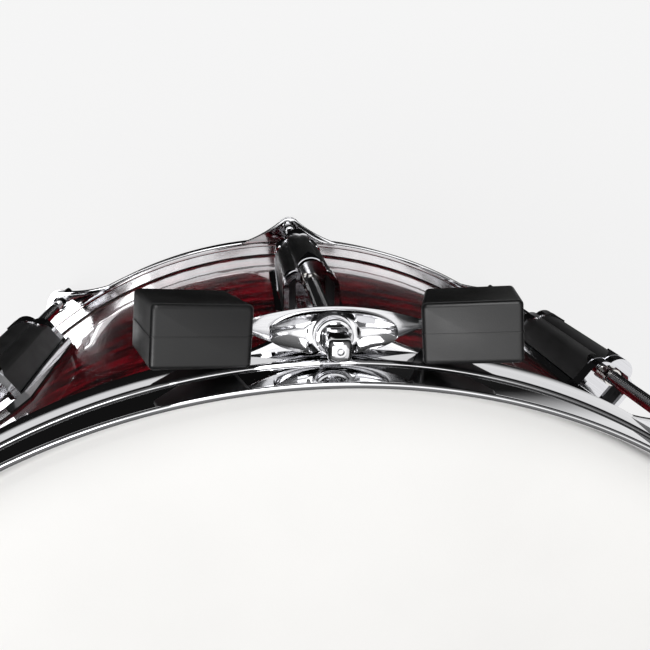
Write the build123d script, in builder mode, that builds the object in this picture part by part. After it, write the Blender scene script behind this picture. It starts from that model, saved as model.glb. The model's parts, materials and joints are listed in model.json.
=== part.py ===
"""A ten-lug tom tom drum with a two-block rubber rest on one tension rod.

Millimetres, +Z up. The origin is on the drum's axis in the plane of the lower hoop's lip, where the
drum stands. The batter head is at the top, and the rest is at the front, towards -Y.
"""

import os
from math import cos, radians, sin, sqrt

from build123d import *

# Shell and heads
LUG_COUNT = 10
SHELL_RADIUS = 178.0
SHELL_WALL = 6.0
SHELL_DEPTH = 190.0
EDGE_FLAT = 1.0
EDGE_ROUND = 2.0
FILM_THICKNESS = 0.35
FILM_TO_SHELL = 0.3
FILM_FLARE = 2.4
FILM_END_ROOM = 0.5
LIP_ABOVE_HEAD = 9.9

# Flesh hoop, the channel ring that grips the film
FLESH_WALL = 3.7
FLESH_HEIGHT = 7.0
FLESH_TO_FILM = 0.25
FLESH_SLOT = 0.8
FLESH_SLOT_DEPTH = 4.5
FLESH_INNER_LEG = 1.0

# Counterhoop
HOOP_WALL = 2.0
HOOP_HEIGHT = 22.5
HOOP_LIP_SETBACK = 1.6
SHOULDER_DROP = 15.0
SKIRT_TO_FLESH = 0.2
LIP_ROUND = 0.7

# Hoop ears
EAR_THICKNESS = 3.2
EAR_TIP_RADIUS = 5.6
EAR_TIP_HALF_ANGLE = 40.0
EAR_HALF_SPREAD = 33.0
EAR_SINK = 0.5
EAR_HOLE_RADIUS = 3.3
EAR_BOSS_RADIUS = 5.0
EAR_BOSS_RISE = 0.8
EAR_EDGE_ROUND = 0.5

# Tension rods, with the washer and bush under each head
THREAD_RADIUS = 2.5
SHANK_RADIUS = 2.15
SHANK_LENGTH = 14.0
FLANGE_RADIUS = 4.9
FLANGE_THICKNESS = 2.4
FLANGE_ROUND = 0.6
KEY_HEAD_WIDTH = 6.0
KEY_HEAD_HEIGHT = 10.4
KEY_HEAD_ROUND = 1.2
WASHER_RADIUS = 5.3
WASHER_TO_SKIRT = 0.6
WASHER_THICKNESS = 1.0
BUSH_RADIUS = 4.9
BUSH_THICKNESS = 1.0
WASHER_HOLE_CLEARANCE = 0.2
RUNNING_CLEARANCE = 0.05
ROD_IN_LUG = 24.0

# Lugs
LUG_LENGTH = 68.0
LUG_BASE_HALF_WIDTH = 12.0
LUG_BASE_THICKNESS = 2.6
LUG_BASE_OVERHANG = 3.0
LUG_BASE_CORNER = 6.0
GASKET_THICKNESS = 0.8
GASKET_SETBACK = 0.4
CORE_HALF_WIDTH = 5.1
CORE_WALL = 1.0
CORE_OUTSIDE_ROD = 5.1
CORE_CORNER = 3.2
LUG_SINK = 0.5
CAP_LENGTH = 5.0
CAP_PROUD = 0.4
CAP_OPENING_HALF_WIDTH = 7.7
CAP_OPENING_OUTSIDE_ROD = 3.7
CAP_OPENING_CORNER = 3.5
WEB_THICKNESS = 2.0
FLUTE_RADIUS = 4.8
FLUTE_OUTSIDE_ROD = 2.8
SIDE_FLUTE_INSIDE = 4.2
SIDE_FLUTE_OFFSET = 4.2
INSERT_CLEARANCE = 0.1

# Swivel nuts
NUT_SLEEVE_RADIUS = 3.2
NUT_NECK_RADIUS = 2.95
NUT_BEAD_LENGTH = 1.6
NUT_FLANGE_RADIUS = 3.8
NUT_FLANGE_THICKNESS = 2.0
NUT_TAIL_LENGTH = 9.0
NUT_SETBACK = 0.6
NUT_CLEARANCE = 0.1

# Lug screws
SCREW_RADIUS = 2.0
SCREW_SPACING = 38.0
SCREW_HEAD_RADIUS = 4.0
SCREW_HEAD_HEIGHT = 2.6
SCREW_HEAD_ROUND = 1.0
SCREW_SLOT_WIDTH = 1.2
SCREW_SLOT_DEPTH = 1.4
SCREW_BITE = 3.6
SCREW_BOSS_WALL = 1.8
SCREW_HOLE_CLEARANCE = 0.5
SCREW_THREAD_CLEARANCE = 0.05
SCREW_WASHER_RADIUS = 5.0
SCREW_WASHER_THICKNESS = 1.0

# Vent
VENT_AZIMUTH = 108.0
VENT_BORE_RADIUS = 5.0
VENT_WALL = 1.0
VENT_FLANGE_RADIUS = 8.5
VENT_FLANGE_THICKNESS = 1.0
VENT_FLANGE_ROUND = 0.4
VENT_HOLE_CLEARANCE = 0.1
VENT_LIP = 0.8

# Rest
STRAP_THICKNESS = 1.5
STRAP_NECK_WIDTH = 3.0
STRAP_NECK_REACH = 23.0
STRAP_INSIDE_ROD = 5.0
STRAP_OUTSIDE_ROD = 6.6
STRAP_TANG_LENGTH = 12.0
SADDLE_THICKNESS = 2.0
SADDLE_WING_RISE = 1.6
SADDLE_HALF_LENGTH = 16.5
SADDLE_INSIDE_ROD = 4.6
SADDLE_OUTSIDE_ROD = 6.2
SADDLE_SEAT_CLEARANCE = 0.4
SADDLE_ROUND = 0.6
SADDLE_SLOT_OFFSET = 12.0
SADDLE_SLOT_LENGTH = 3.6
SADDLE_SLOT_RADIUS = 0.9
DIMPLE_RADIUS = 5.0
DIMPLE_DEPTH = 0.9
DIMPLE_OFFSET = 9.0
BLOCK_WIDTH = 24.4
BLOCK_HEIGHT = 15.7
BLOCK_DEPTH = 27.0
BLOCK_OFFSET = 32.3
BLOCK_OUTSIDE_ROD = 4.0
BLOCK_BELOW_LIP = 1.0
BLOCK_TOE_IN = 16.0
BLOCK_TILT = 6.0
BLOCK_PITCH = 7.0
BLOCK_ROUND = 1.0
TANG_CLEARANCE = 0.05

# Worked out from the sizes above
HEIGHT = SHELL_DEPTH + 2 * (FILM_THICKNESS + LIP_ABOVE_HEAD)
MID_HEIGHT = HEIGHT / 2
MID_PLANE = Plane.XY.offset(MID_HEIGHT)
SHELL_TOP = MID_HEIGHT + SHELL_DEPTH / 2
SHELL_BORE = SHELL_RADIUS - SHELL_WALL
COLLAR_RADIUS = SHELL_RADIUS + FILM_TO_SHELL
FLESH_INNER = COLLAR_RADIUS + FILM_THICKNESS + FLESH_TO_FILM
FLESH_OUTER = FLESH_INNER + FLESH_WALL
FLESH_TOP = HEIGHT - SHOULDER_DROP
SLOT_INNER = FLESH_INNER + FLESH_INNER_LEG
SKIRT_INNER = FLESH_OUTER + SKIRT_TO_FLESH
SKIRT_OUTER = SKIRT_INNER + HOOP_WALL
LIP_INNER = FLESH_OUTER - HOOP_LIP_SETBACK
PITCH_RADIUS = SKIRT_OUTER + WASHER_RADIUS + WASHER_TO_SKIRT
EAR_TOP = HEIGHT - HOOP_HEIGHT + EAR_THICKNESS
EAR_BOSS_TOP = EAR_TOP + EAR_BOSS_RISE
LUG_TOP = MID_HEIGHT + LUG_LENGTH / 2
LUG_SEAT = SHELL_RADIUS + GASKET_THICKNESS
BASE_TOP = LUG_SEAT + LUG_BASE_THICKNESS
CORE_TOP = PITCH_RADIUS + CORE_OUTSIDE_ROD
WEB_TOP = LUG_TOP - CAP_LENGTH
CAVITY_HALF_WIDTH = CORE_HALF_WIDTH - CORE_WALL
ROD_END = LUG_TOP - ROD_IN_LUG
REST_STACK = STRAP_THICKNESS + SADDLE_THICKNESS
FRONT_ANGLE = -90.0
LUG_ANGLE = 360.0 / LUG_COUNT

os.makedirs("parts", exist_ok=True)


def save(part, name):
    """Label a finished piece and write it to its own STEP file."""
    part.label = name
    export_step(part, f"parts/{name}.step")


def around():
    """The ten lug directions, the first one at the front, with local +X pointing outward."""
    return PolarLocations(0, LUG_COUNT, start_angle=FRONT_ANGLE)


def radial_plane(azimuth, height, distance=0.0):
    """A plane whose normal points outward at an azimuth, with its local Y along +Z."""
    outward = Vector(cos(radians(azimuth)), sin(radians(azimuth)), 0)
    sideways = Vector(-sin(radians(azimuth)), cos(radians(azimuth)), 0)
    return Plane(origin=outward * distance + Vector(0, 0, height), x_dir=sideways, z_dir=outward)


def flat_seat(bore_radius, half_width):
    """How far out a flat washer of a given half width can sit inside a round bore."""
    return sqrt(bore_radius**2 - half_width**2)


# ---------------------------------------------------------------- shell

SCREW_HEIGHTS = (MID_HEIGHT - SCREW_SPACING / 2, MID_HEIGHT + SCREW_SPACING / 2)

with BuildPart() as shell:
    with BuildSketch(Plane.XZ):
        with BuildLine():
            slope = SHELL_WALL - EDGE_FLAT - EDGE_ROUND
            Polyline(
                (SHELL_RADIUS, MID_HEIGHT),
                (SHELL_RADIUS, SHELL_TOP - EDGE_ROUND),
            )
            RadiusArc(
                (SHELL_RADIUS, SHELL_TOP - EDGE_ROUND),
                (SHELL_RADIUS - EDGE_ROUND, SHELL_TOP),
                -EDGE_ROUND,
            )
            Polyline(
                (SHELL_RADIUS - EDGE_ROUND, SHELL_TOP),
                (SHELL_RADIUS - EDGE_ROUND - EDGE_FLAT, SHELL_TOP),
                (SHELL_BORE, SHELL_TOP - slope),
                (SHELL_BORE, MID_HEIGHT),
                (SHELL_RADIUS, MID_HEIGHT),
            )
        make_face()
    revolve(axis=Axis.Z)
    mirror(about=MID_PLANE)
    for index in range(LUG_COUNT):
        for screw_height in SCREW_HEIGHTS:
            with BuildSketch(radial_plane(FRONT_ANGLE + index * LUG_ANGLE, screw_height)):
                Circle(SCREW_RADIUS + SCREW_HOLE_CLEARANCE)
            extrude(amount=SHELL_RADIUS + SHELL_WALL, mode=Mode.SUBTRACT)
    with BuildSketch(radial_plane(VENT_AZIMUTH, MID_HEIGHT)):
        Circle(VENT_BORE_RADIUS + VENT_WALL + VENT_HOLE_CLEARANCE)
    extrude(amount=SHELL_RADIUS + SHELL_WALL, mode=Mode.SUBTRACT)
save(shell.part, "shell")

# ---------------------------------------------------------------- vent

VENT_TUBE_RADIUS = VENT_BORE_RADIUS + VENT_WALL
VENT_INNER_SEAT = flat_seat(SHELL_BORE, VENT_FLANGE_RADIUS)

with BuildPart() as vent_grommet:
    with BuildSketch(radial_plane(VENT_AZIMUTH, MID_HEIGHT, SHELL_RADIUS)):
        Circle(VENT_FLANGE_RADIUS)
        Circle(VENT_BORE_RADIUS, mode=Mode.SUBTRACT)
    extrude(amount=VENT_FLANGE_THICKNESS)
    outer_rim = vent_grommet.edges().group_by(SortBy.LENGTH)[-1]
    fillet(outer_rim, VENT_FLANGE_ROUND)
    tube_length = SHELL_RADIUS - VENT_INNER_SEAT + VENT_FLANGE_THICKNESS + VENT_LIP
    with BuildSketch(radial_plane(VENT_AZIMUTH, MID_HEIGHT, SHELL_RADIUS)):
        Circle(VENT_TUBE_RADIUS)
        Circle(VENT_BORE_RADIUS, mode=Mode.SUBTRACT)
    extrude(amount=-tube_length)
save(vent_grommet.part, "vent_grommet")

with BuildPart() as vent_washer:
    with BuildSketch(radial_plane(VENT_AZIMUTH, MID_HEIGHT, VENT_INNER_SEAT)):
        Circle(VENT_FLANGE_RADIUS)
        Circle(VENT_TUBE_RADIUS + VENT_HOLE_CLEARANCE, mode=Mode.SUBTRACT)
    extrude(amount=-VENT_FLANGE_THICKNESS)
save(vent_washer.part, "vent_washer")

# ---------------------------------------------------------------- heads

BEND = EDGE_ROUND
FILM_TOP = SHELL_TOP + FILM_THICKNESS
BEND_CENTRE = COLLAR_RADIUS - BEND
BEND_FOOT = SHELL_TOP - BEND
FLARE_TOP = FLESH_TOP + FILM_FLARE
SLOT_MIDDLE = SLOT_INNER + (FLESH_SLOT - FILM_THICKNESS) / 2
FILM_END = FLESH_TOP - FLESH_SLOT_DEPTH + FILM_END_ROOM

with BuildPart() as batter_head_film:
    with BuildSketch(Plane.XZ):
        with BuildLine():
            Line((0, FILM_TOP), (BEND_CENTRE, FILM_TOP))
            RadiusArc(
                (BEND_CENTRE, FILM_TOP),
                (COLLAR_RADIUS + FILM_THICKNESS, BEND_FOOT),
                BEND + FILM_THICKNESS,
            )
            Polyline(
                (COLLAR_RADIUS + FILM_THICKNESS, BEND_FOOT),
                (COLLAR_RADIUS + FILM_THICKNESS, FLARE_TOP),
                (SLOT_MIDDLE + FILM_THICKNESS, FLESH_TOP),
                (SLOT_MIDDLE + FILM_THICKNESS, FILM_END),
                (SLOT_MIDDLE, FILM_END),
                (SLOT_MIDDLE, FLESH_TOP - FILM_THICKNESS / 2),
                (COLLAR_RADIUS, FLARE_TOP - FILM_THICKNESS / 2),
                (COLLAR_RADIUS, BEND_FOOT),
            )
            RadiusArc((COLLAR_RADIUS, BEND_FOOT), (BEND_CENTRE, SHELL_TOP), -BEND)
            Polyline((BEND_CENTRE, SHELL_TOP), (0, SHELL_TOP), (0, FILM_TOP))
        make_face()
    revolve(axis=Axis.Z)
save(batter_head_film.part, "batter_head_film")

with BuildPart() as resonant_head_film:
    mirror(batter_head_film.part, about=MID_PLANE)
save(resonant_head_film.part, "resonant_head_film")

with BuildPart() as batter_flesh_hoop:
    with BuildSketch(Plane.XZ):
        with Locations((FLESH_INNER, FLESH_TOP)):
            Rectangle(FLESH_WALL, FLESH_HEIGHT, align=(Align.MIN, Align.MAX))
        with Locations((SLOT_INNER, FLESH_TOP)):
            Rectangle(
                FLESH_SLOT, FLESH_SLOT_DEPTH, align=(Align.MIN, Align.MAX), mode=Mode.SUBTRACT
            )
    revolve(axis=Axis.Z)
save(batter_flesh_hoop.part, "batter_flesh_hoop")

with BuildPart() as resonant_flesh_hoop:
    mirror(batter_flesh_hoop.part, about=MID_PLANE)
save(resonant_flesh_hoop.part, "resonant_flesh_hoop")

# ---------------------------------------------------------------- counterhoops

HOOP_FOOT = HEIGHT - HOOP_HEIGHT
EAR_ROOT_RADIUS = SKIRT_OUTER - EAR_SINK
EAR_ROOT = sqrt(EAR_ROOT_RADIUS**2 - EAR_HALF_SPREAD**2)
EAR_SHOULDER_X = PITCH_RADIUS + EAR_TIP_RADIUS * cos(radians(EAR_TIP_HALF_ANGLE))
EAR_SHOULDER_Y = EAR_TIP_RADIUS * sin(radians(EAR_TIP_HALF_ANGLE))

with BuildPart() as ear:
    with BuildSketch(Plane.XY.offset(HOOP_FOOT)):
        with BuildLine():
            along = Vector(EAR_HALF_SPREAD, -EAR_ROOT, 0)
            left = TangentArc(
                (EAR_ROOT, EAR_HALF_SPREAD),
                (EAR_SHOULDER_X, EAR_SHOULDER_Y),
                tangent=along,
            )
            ThreePointArc(
                (EAR_SHOULDER_X, EAR_SHOULDER_Y),
                (PITCH_RADIUS + EAR_TIP_RADIUS, 0),
                (EAR_SHOULDER_X, -EAR_SHOULDER_Y),
            )
            mirror(left, about=Plane.XZ)
            ThreePointArc(
                (EAR_ROOT, -EAR_HALF_SPREAD),
                (EAR_ROOT_RADIUS, 0),
                (EAR_ROOT, EAR_HALF_SPREAD),
            )
        make_face()
    extrude(amount=EAR_THICKNESS)
    outer_faces = ear.faces().filter_by(GeomType.CYLINDER).sort_by(Axis.X)[1:]
    fillet(outer_faces.edges().filter_by(Axis.Z, reverse=True), EAR_EDGE_ROUND)
    with BuildSketch(Plane.XY.offset(EAR_TOP)):
        with Locations((PITCH_RADIUS, 0)):
            Circle(EAR_BOSS_RADIUS)
    extrude(amount=EAR_BOSS_RISE)
    with BuildSketch(Plane.XY.offset(HOOP_FOOT)):
        with Locations((PITCH_RADIUS, 0)):
            Circle(EAR_HOLE_RADIUS)
    extrude(amount=EAR_THICKNESS + EAR_BOSS_RISE, mode=Mode.SUBTRACT)

with BuildPart() as batter_hoop:
    with BuildSketch(Plane.XZ):
        with BuildLine():
            Polyline(
                (LIP_INNER, HEIGHT),
                (LIP_INNER + HOOP_WALL, HEIGHT),
                (LIP_INNER + HOOP_WALL, FLESH_TOP + HOOP_WALL),
                (SKIRT_OUTER, FLESH_TOP + HOOP_WALL),
                (SKIRT_OUTER, HOOP_FOOT),
                (SKIRT_INNER, HOOP_FOOT),
                (SKIRT_INNER, FLESH_TOP),
                (LIP_INNER, FLESH_TOP),
                (LIP_INNER, HEIGHT),
            )
        make_face()
    revolve(axis=Axis.Z)
    lip_edges = batter_hoop.edges().group_by(Axis.Z)[-1]
    step_edges = batter_hoop.edges().filter_by_position(
        Axis.Z, FLESH_TOP + HOOP_WALL - 0.01, FLESH_TOP + HOOP_WALL + 0.01
    )
    fillet(lip_edges + step_edges, LIP_ROUND)
    with around():
        add(ear.part)
save(batter_hoop.part, "batter_hoop")

with BuildPart() as resonant_hoop:
    mirror(batter_hoop.part, about=MID_PLANE)
save(resonant_hoop.part, "resonant_hoop")

# ---------------------------------------------------------------- lugs

BASE_HALF_LENGTH = LUG_LENGTH / 2 + LUG_BASE_OVERHANG
CAVITY_CORNER = CORE_CORNER - CORE_WALL * (2 - sqrt(2))
CAP_OPENING_TOP = PITCH_RADIUS + CAP_OPENING_OUTSIDE_ROD
SCREW_TIP = BASE_TOP + SCREW_BITE


def fluted_outline(grow, foot):
    """Sketch the insert's three-lobed outline, in plan, grown outward by a distance."""
    side_centre = PITCH_RADIUS + FLUTE_OUTSIDE_ROD - SIDE_FLUTE_INSIDE
    lobe = FLUTE_RADIUS + grow
    with Locations((PITCH_RADIUS + FLUTE_OUTSIDE_ROD, 0)):
        Circle(lobe)
    with Locations((side_centre, SIDE_FLUTE_OFFSET), (side_centre, -SIDE_FLUTE_OFFSET)):
        Circle(lobe)
    with Locations((foot, 0)):
        Rectangle(
            side_centre - foot, 2 * (SIDE_FLUTE_OFFSET + lobe), align=(Align.MIN, Align.CENTER)
        )


def tunnel(foot, top, half_width, corner, mode=Mode.ADD):
    """Sketch a box section, in plan, whose two outer corners are cut."""
    Polygon(
        (foot, -half_width),
        (top - corner, -half_width),
        (top, corner - half_width),
        (top, half_width - corner),
        (top - corner, half_width),
        (foot, half_width),
        align=None,
        mode=mode,
    )


def base_pad(inner_radius, thickness, half_width, half_length, corner):
    """Add a pad that follows the shell's curve, with cut corners, centred on the mid plane."""
    with BuildSketch(Plane.XY.offset(MID_HEIGHT - half_length)) as curved_band:
        Circle(inner_radius + thickness)
        Circle(inner_radius, mode=Mode.SUBTRACT)
        Rectangle(
            2 * inner_radius,
            2 * half_width,
            align=(Align.MIN, Align.CENTER),
            mode=Mode.INTERSECT,
        )
    extrude(curved_band.sketch, amount=2 * half_length)
    with BuildSketch(radial_plane(0, MID_HEIGHT, inner_radius - half_width)) as outline:
        Rectangle(2 * half_width, 2 * half_length)
        chamfer(outline.vertices(), corner)
    extrude(outline.sketch, amount=2 * half_width + thickness, mode=Mode.INTERSECT)


def screw_holes(radius):
    """Cut the two lug-screw holes through a piece that faces +X."""
    for screw_height in SCREW_HEIGHTS:
        with BuildSketch(radial_plane(0, screw_height)) as hole:
            Circle(radius)
        depth = SCREW_TIP + SCREW_THREAD_CLEARANCE
        extrude(hole.sketch, amount=depth, mode=Mode.SUBTRACT)


with BuildPart() as gasket:
    base_pad(
        SHELL_RADIUS,
        GASKET_THICKNESS,
        LUG_BASE_HALF_WIDTH - GASKET_SETBACK,
        BASE_HALF_LENGTH - GASKET_SETBACK,
        LUG_BASE_CORNER,
    )
    screw_holes(SCREW_RADIUS + SCREW_HOLE_CLEARANCE)

with BuildPart() as casing:
    base_pad(
        LUG_SEAT, LUG_BASE_THICKNESS, LUG_BASE_HALF_WIDTH, BASE_HALF_LENGTH, LUG_BASE_CORNER
    )
    # The hollow core that the insert straddles
    with BuildSketch(Plane.XY.offset(MID_HEIGHT - LUG_LENGTH / 2 + CAP_LENGTH)):
        tunnel(BASE_TOP - LUG_SINK, CORE_TOP, CORE_HALF_WIDTH, CORE_CORNER)
        cavity_top = CORE_TOP - CORE_WALL
        tunnel(BASE_TOP, cavity_top, CAVITY_HALF_WIDTH, CAVITY_CORNER, Mode.SUBTRACT)
    extrude(amount=LUG_LENGTH - 2 * CAP_LENGTH)
    # The caps that close the insert in at both ends
    for cap_foot in (MID_HEIGHT - LUG_LENGTH / 2, LUG_TOP - CAP_LENGTH):
        with BuildSketch(Plane.XY.offset(cap_foot)):
            fluted_outline(CAP_PROUD, BASE_TOP - LUG_SINK)
            tunnel(
                BASE_TOP,
                CAP_OPENING_TOP,
                CAP_OPENING_HALF_WIDTH,
                CAP_OPENING_CORNER,
                Mode.SUBTRACT,
            )
        extrude(amount=CAP_LENGTH)
    # The webs that the swivel nuts bear on, and the bosses for the screws
    for web_foot in (MID_HEIGHT - LUG_LENGTH / 2 + CAP_LENGTH, WEB_TOP - WEB_THICKNESS):
        with BuildSketch(Plane.XY.offset(web_foot)):
            tunnel(BASE_TOP - LUG_SINK, CORE_TOP, CORE_HALF_WIDTH, CORE_CORNER)
            with Locations((PITCH_RADIUS, 0)):
                Circle(NUT_SLEEVE_RADIUS + NUT_CLEARANCE, mode=Mode.SUBTRACT)
        extrude(amount=WEB_THICKNESS)
    for screw_height in SCREW_HEIGHTS:
        with BuildSketch(radial_plane(0, screw_height, BASE_TOP - LUG_SINK)):
            Circle(SCREW_RADIUS + SCREW_BOSS_WALL)
        extrude(amount=SCREW_BITE + LUG_SINK)
    screw_holes(SCREW_RADIUS + SCREW_THREAD_CLEARANCE)

with BuildPart() as insert:
    with BuildSketch(Plane.XY.offset(MID_HEIGHT - LUG_LENGTH / 2 + CAP_LENGTH)):
        fluted_outline(0, BASE_TOP)
        tunnel(
            BASE_TOP,
            CORE_TOP + INSERT_CLEARANCE,
            CORE_HALF_WIDTH + INSERT_CLEARANCE,
            CORE_CORNER,
            Mode.SUBTRACT,
        )
    extrude(amount=LUG_LENGTH - 2 * CAP_LENGTH)

for name, piece in (("lug_gaskets", gasket), ("lug_casings", casing), ("lug_inserts", insert)):
    with BuildPart() as group:
        with around():
            add(piece.part)
    save(group.part, name)

# ---------------------------------------------------------------- lug screws

SCREW_WASHER_SEAT = flat_seat(SHELL_BORE, SCREW_WASHER_RADIUS)
SCREW_HEAD_SEAT = SCREW_WASHER_SEAT - SCREW_WASHER_THICKNESS

with BuildPart() as screw_pair:
    for screw_height in SCREW_HEIGHTS:
        with BuildSketch(radial_plane(0, screw_height, SCREW_HEAD_SEAT)):
            Circle(SCREW_HEAD_RADIUS)
        extrude(amount=-SCREW_HEAD_HEIGHT)
    head_faces = screw_pair.faces().filter_by(Axis.X).group_by(Axis.X)[0]
    fillet(head_faces.edges(), SCREW_HEAD_ROUND)
    for screw_height in SCREW_HEIGHTS:
        slot_plane = radial_plane(0, screw_height, SCREW_HEAD_SEAT - SCREW_HEAD_HEIGHT)
        with BuildSketch(slot_plane):
            Rectangle(SCREW_HEAD_RADIUS, SCREW_SLOT_WIDTH)
            Rectangle(SCREW_SLOT_WIDTH, SCREW_HEAD_RADIUS)
        extrude(amount=SCREW_SLOT_DEPTH, mode=Mode.SUBTRACT)
        with BuildSketch(radial_plane(0, screw_height, SCREW_HEAD_SEAT)):
            Circle(SCREW_RADIUS)
        extrude(amount=SCREW_TIP - SCREW_HEAD_SEAT)

with BuildPart() as screw_washer_pair:
    for screw_height in SCREW_HEIGHTS:
        with BuildSketch(radial_plane(0, screw_height, SCREW_HEAD_SEAT)):
            Circle(SCREW_WASHER_RADIUS)
            Circle(SCREW_RADIUS + WASHER_HOLE_CLEARANCE, mode=Mode.SUBTRACT)
        extrude(amount=SCREW_WASHER_THICKNESS)

for name, piece in (("lug_screws", screw_pair), ("lug_screw_washers", screw_washer_pair)):
    with BuildPart() as group:
        with around():
            add(piece.part)
    save(group.part, name)

# ---------------------------------------------------------------- swivel nuts

NUT_TOP = LUG_TOP - NUT_SETBACK
NUT_FLANGE_TOP = WEB_TOP - WEB_THICKNESS
NUT_BORE = THREAD_RADIUS + RUNNING_CLEARANCE

with BuildPart() as nut:
    with BuildSketch(Plane.XZ):
        with Locations((PITCH_RADIUS, NUT_TOP)):
            Rectangle(NUT_SLEEVE_RADIUS, NUT_BEAD_LENGTH, align=(Align.MIN, Align.MAX))
            Rectangle(NUT_NECK_RADIUS, NUT_TOP - NUT_FLANGE_TOP, align=(Align.MIN, Align.MAX))
        with Locations((PITCH_RADIUS, WEB_TOP)):
            Rectangle(NUT_SLEEVE_RADIUS, WEB_THICKNESS, align=(Align.MIN, Align.MAX))
        with Locations((PITCH_RADIUS, NUT_FLANGE_TOP)):
            Rectangle(NUT_FLANGE_RADIUS, NUT_FLANGE_THICKNESS, align=(Align.MIN, Align.MAX))
            Rectangle(
                NUT_SLEEVE_RADIUS,
                NUT_FLANGE_THICKNESS + NUT_TAIL_LENGTH,
                align=(Align.MIN, Align.MAX),
            )
        with Locations((PITCH_RADIUS, NUT_TOP)):
            Rectangle(NUT_BORE, LUG_LENGTH, align=(Align.MIN, Align.MAX), mode=Mode.SUBTRACT)
    revolve(axis=Axis((PITCH_RADIUS, 0, 0), (0, 0, 1)))

with BuildPart() as batter_swivel_nuts:
    with around():
        add(nut.part)
save(batter_swivel_nuts.part, "batter_swivel_nuts")

with BuildPart() as resonant_swivel_nuts:
    mirror(batter_swivel_nuts.part, about=MID_PLANE)
save(resonant_swivel_nuts.part, "resonant_swivel_nuts")

# ---------------------------------------------------------------- tension rods

HEAD_STACK = BUSH_THICKNESS + WASHER_THICKNESS
WASHER_BORE = THREAD_RADIUS + WASHER_HOLE_CLEARANCE


def stack_foot(index, has_rest):
    """The height that the bush under a batter-side rod head rests on."""
    return EAR_BOSS_TOP + (REST_STACK if has_rest and index == 0 else 0)


def rod_centre(index):
    """The plan position of a rod's axis."""
    angle = radians(FRONT_ANGLE + index * LUG_ANGLE)
    return (PITCH_RADIUS * cos(angle), PITCH_RADIUS * sin(angle))


def washer_ring(foot, centre, outer, thickness):
    """Add one flat ring round a rod."""
    with BuildSketch(Plane.XY.offset(foot)) as ring:
        with Locations(centre):
            Circle(outer)
            Circle(WASHER_BORE, mode=Mode.SUBTRACT)
    extrude(ring.sketch, amount=thickness)


for side, has_rest in (("batter", True), ("resonant", False)):
    with BuildPart() as bushes:
        for index in range(LUG_COUNT):
            foot = stack_foot(index, has_rest)
            washer_ring(foot, rod_centre(index), BUSH_RADIUS, BUSH_THICKNESS)
    with BuildPart() as washers:
        for index in range(LUG_COUNT):
            foot = stack_foot(index, has_rest) + BUSH_THICKNESS
            washer_ring(foot, rod_centre(index), WASHER_RADIUS, WASHER_THICKNESS)
    for name, group in ((f"{side}_rod_bushes", bushes), (f"{side}_rod_washers", washers)):
        with BuildPart() as placed:
            if has_rest:
                add(group.part)
            else:
                mirror(group.part, about=MID_PLANE)
        save(placed.part, name)
    for index in range(LUG_COUNT):
        head_foot = stack_foot(index, has_rest) + HEAD_STACK + RUNNING_CLEARANCE
        shank_foot = EAR_BOSS_TOP - SHANK_LENGTH
        with BuildPart() as rod:
            with BuildSketch(Plane.XY.offset(head_foot)):
                Circle(FLANGE_RADIUS)
            extrude(amount=FLANGE_THICKNESS)
            fillet(rod.edges().group_by(Axis.Z)[-1], FLANGE_ROUND)
            with BuildSketch(Plane.XY.offset(head_foot + FLANGE_THICKNESS)):
                Rectangle(KEY_HEAD_WIDTH, KEY_HEAD_WIDTH)
                fillet(vertices(), FLANGE_ROUND)
            extrude(amount=KEY_HEAD_HEIGHT)
            fillet(rod.edges().group_by(Axis.Z)[-1], KEY_HEAD_ROUND)
            with BuildSketch(Plane.XY.offset(head_foot)):
                Circle(SHANK_RADIUS)
            extrude(amount=shank_foot - head_foot)
            with BuildSketch(Plane.XY.offset(shank_foot)):
                Circle(THREAD_RADIUS)
            extrude(amount=ROD_END - shank_foot)
            chamfer(rod.edges().group_by(Axis.Z)[0], FLANGE_ROUND)
        with BuildPart() as placed_rod:
            spot = Location((*rod_centre(index), 0), (0, 0, FRONT_ANGLE + index * LUG_ANGLE))
            located = rod.part.moved(spot)
            if has_rest:
                add(located)
            else:
                mirror(located, about=MID_PLANE)
        save(placed_rod.part, f"{side}_rod_{index + 1:02d}")

# ---------------------------------------------------------------- rest

STRAP_FOOT = EAR_BOSS_TOP
SADDLE_FOOT = STRAP_FOOT + STRAP_THICKNESS
NECK_OUTER = PITCH_RADIUS + STRAP_NECK_WIDTH
TANG_END = STRAP_NECK_REACH + STRAP_TANG_LENGTH

with BuildPart() as rest_strap:
    with BuildSketch(Plane.XY.offset(STRAP_FOOT)):
        with BuildLine():
            ThreePointArc(
                (-STRAP_NECK_REACH, -PITCH_RADIUS),
                (0, STRAP_INSIDE_ROD - PITCH_RADIUS),
                (STRAP_NECK_REACH, -PITCH_RADIUS),
            )
            Polyline(
                (STRAP_NECK_REACH, -PITCH_RADIUS),
                (TANG_END, -PITCH_RADIUS),
                (TANG_END, -NECK_OUTER),
                (STRAP_NECK_REACH, -NECK_OUTER),
            )
            ThreePointArc(
                (STRAP_NECK_REACH, -NECK_OUTER),
                (0, -PITCH_RADIUS - STRAP_OUTSIDE_ROD),
                (-STRAP_NECK_REACH, -NECK_OUTER),
            )
            Polyline(
                (-STRAP_NECK_REACH, -NECK_OUTER),
                (-TANG_END, -NECK_OUTER),
                (-TANG_END, -PITCH_RADIUS),
                (-STRAP_NECK_REACH, -PITCH_RADIUS),
            )
        make_face()
        with Locations((0, -PITCH_RADIUS)):
            Circle(EAR_HOLE_RADIUS, mode=Mode.SUBTRACT)
    extrude(amount=STRAP_THICKNESS)
save(rest_strap.part, "rest_strap")

SADDLE_TOP = SADDLE_FOOT + SADDLE_THICKNESS
WING_TOP = SADDLE_TOP + SADDLE_WING_RISE
DIMPLE_CENTRE = WING_TOP + DIMPLE_RADIUS - DIMPLE_DEPTH
SADDLE_MIDDLE = (SADDLE_OUTSIDE_ROD - SADDLE_INSIDE_ROD) / 2

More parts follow.
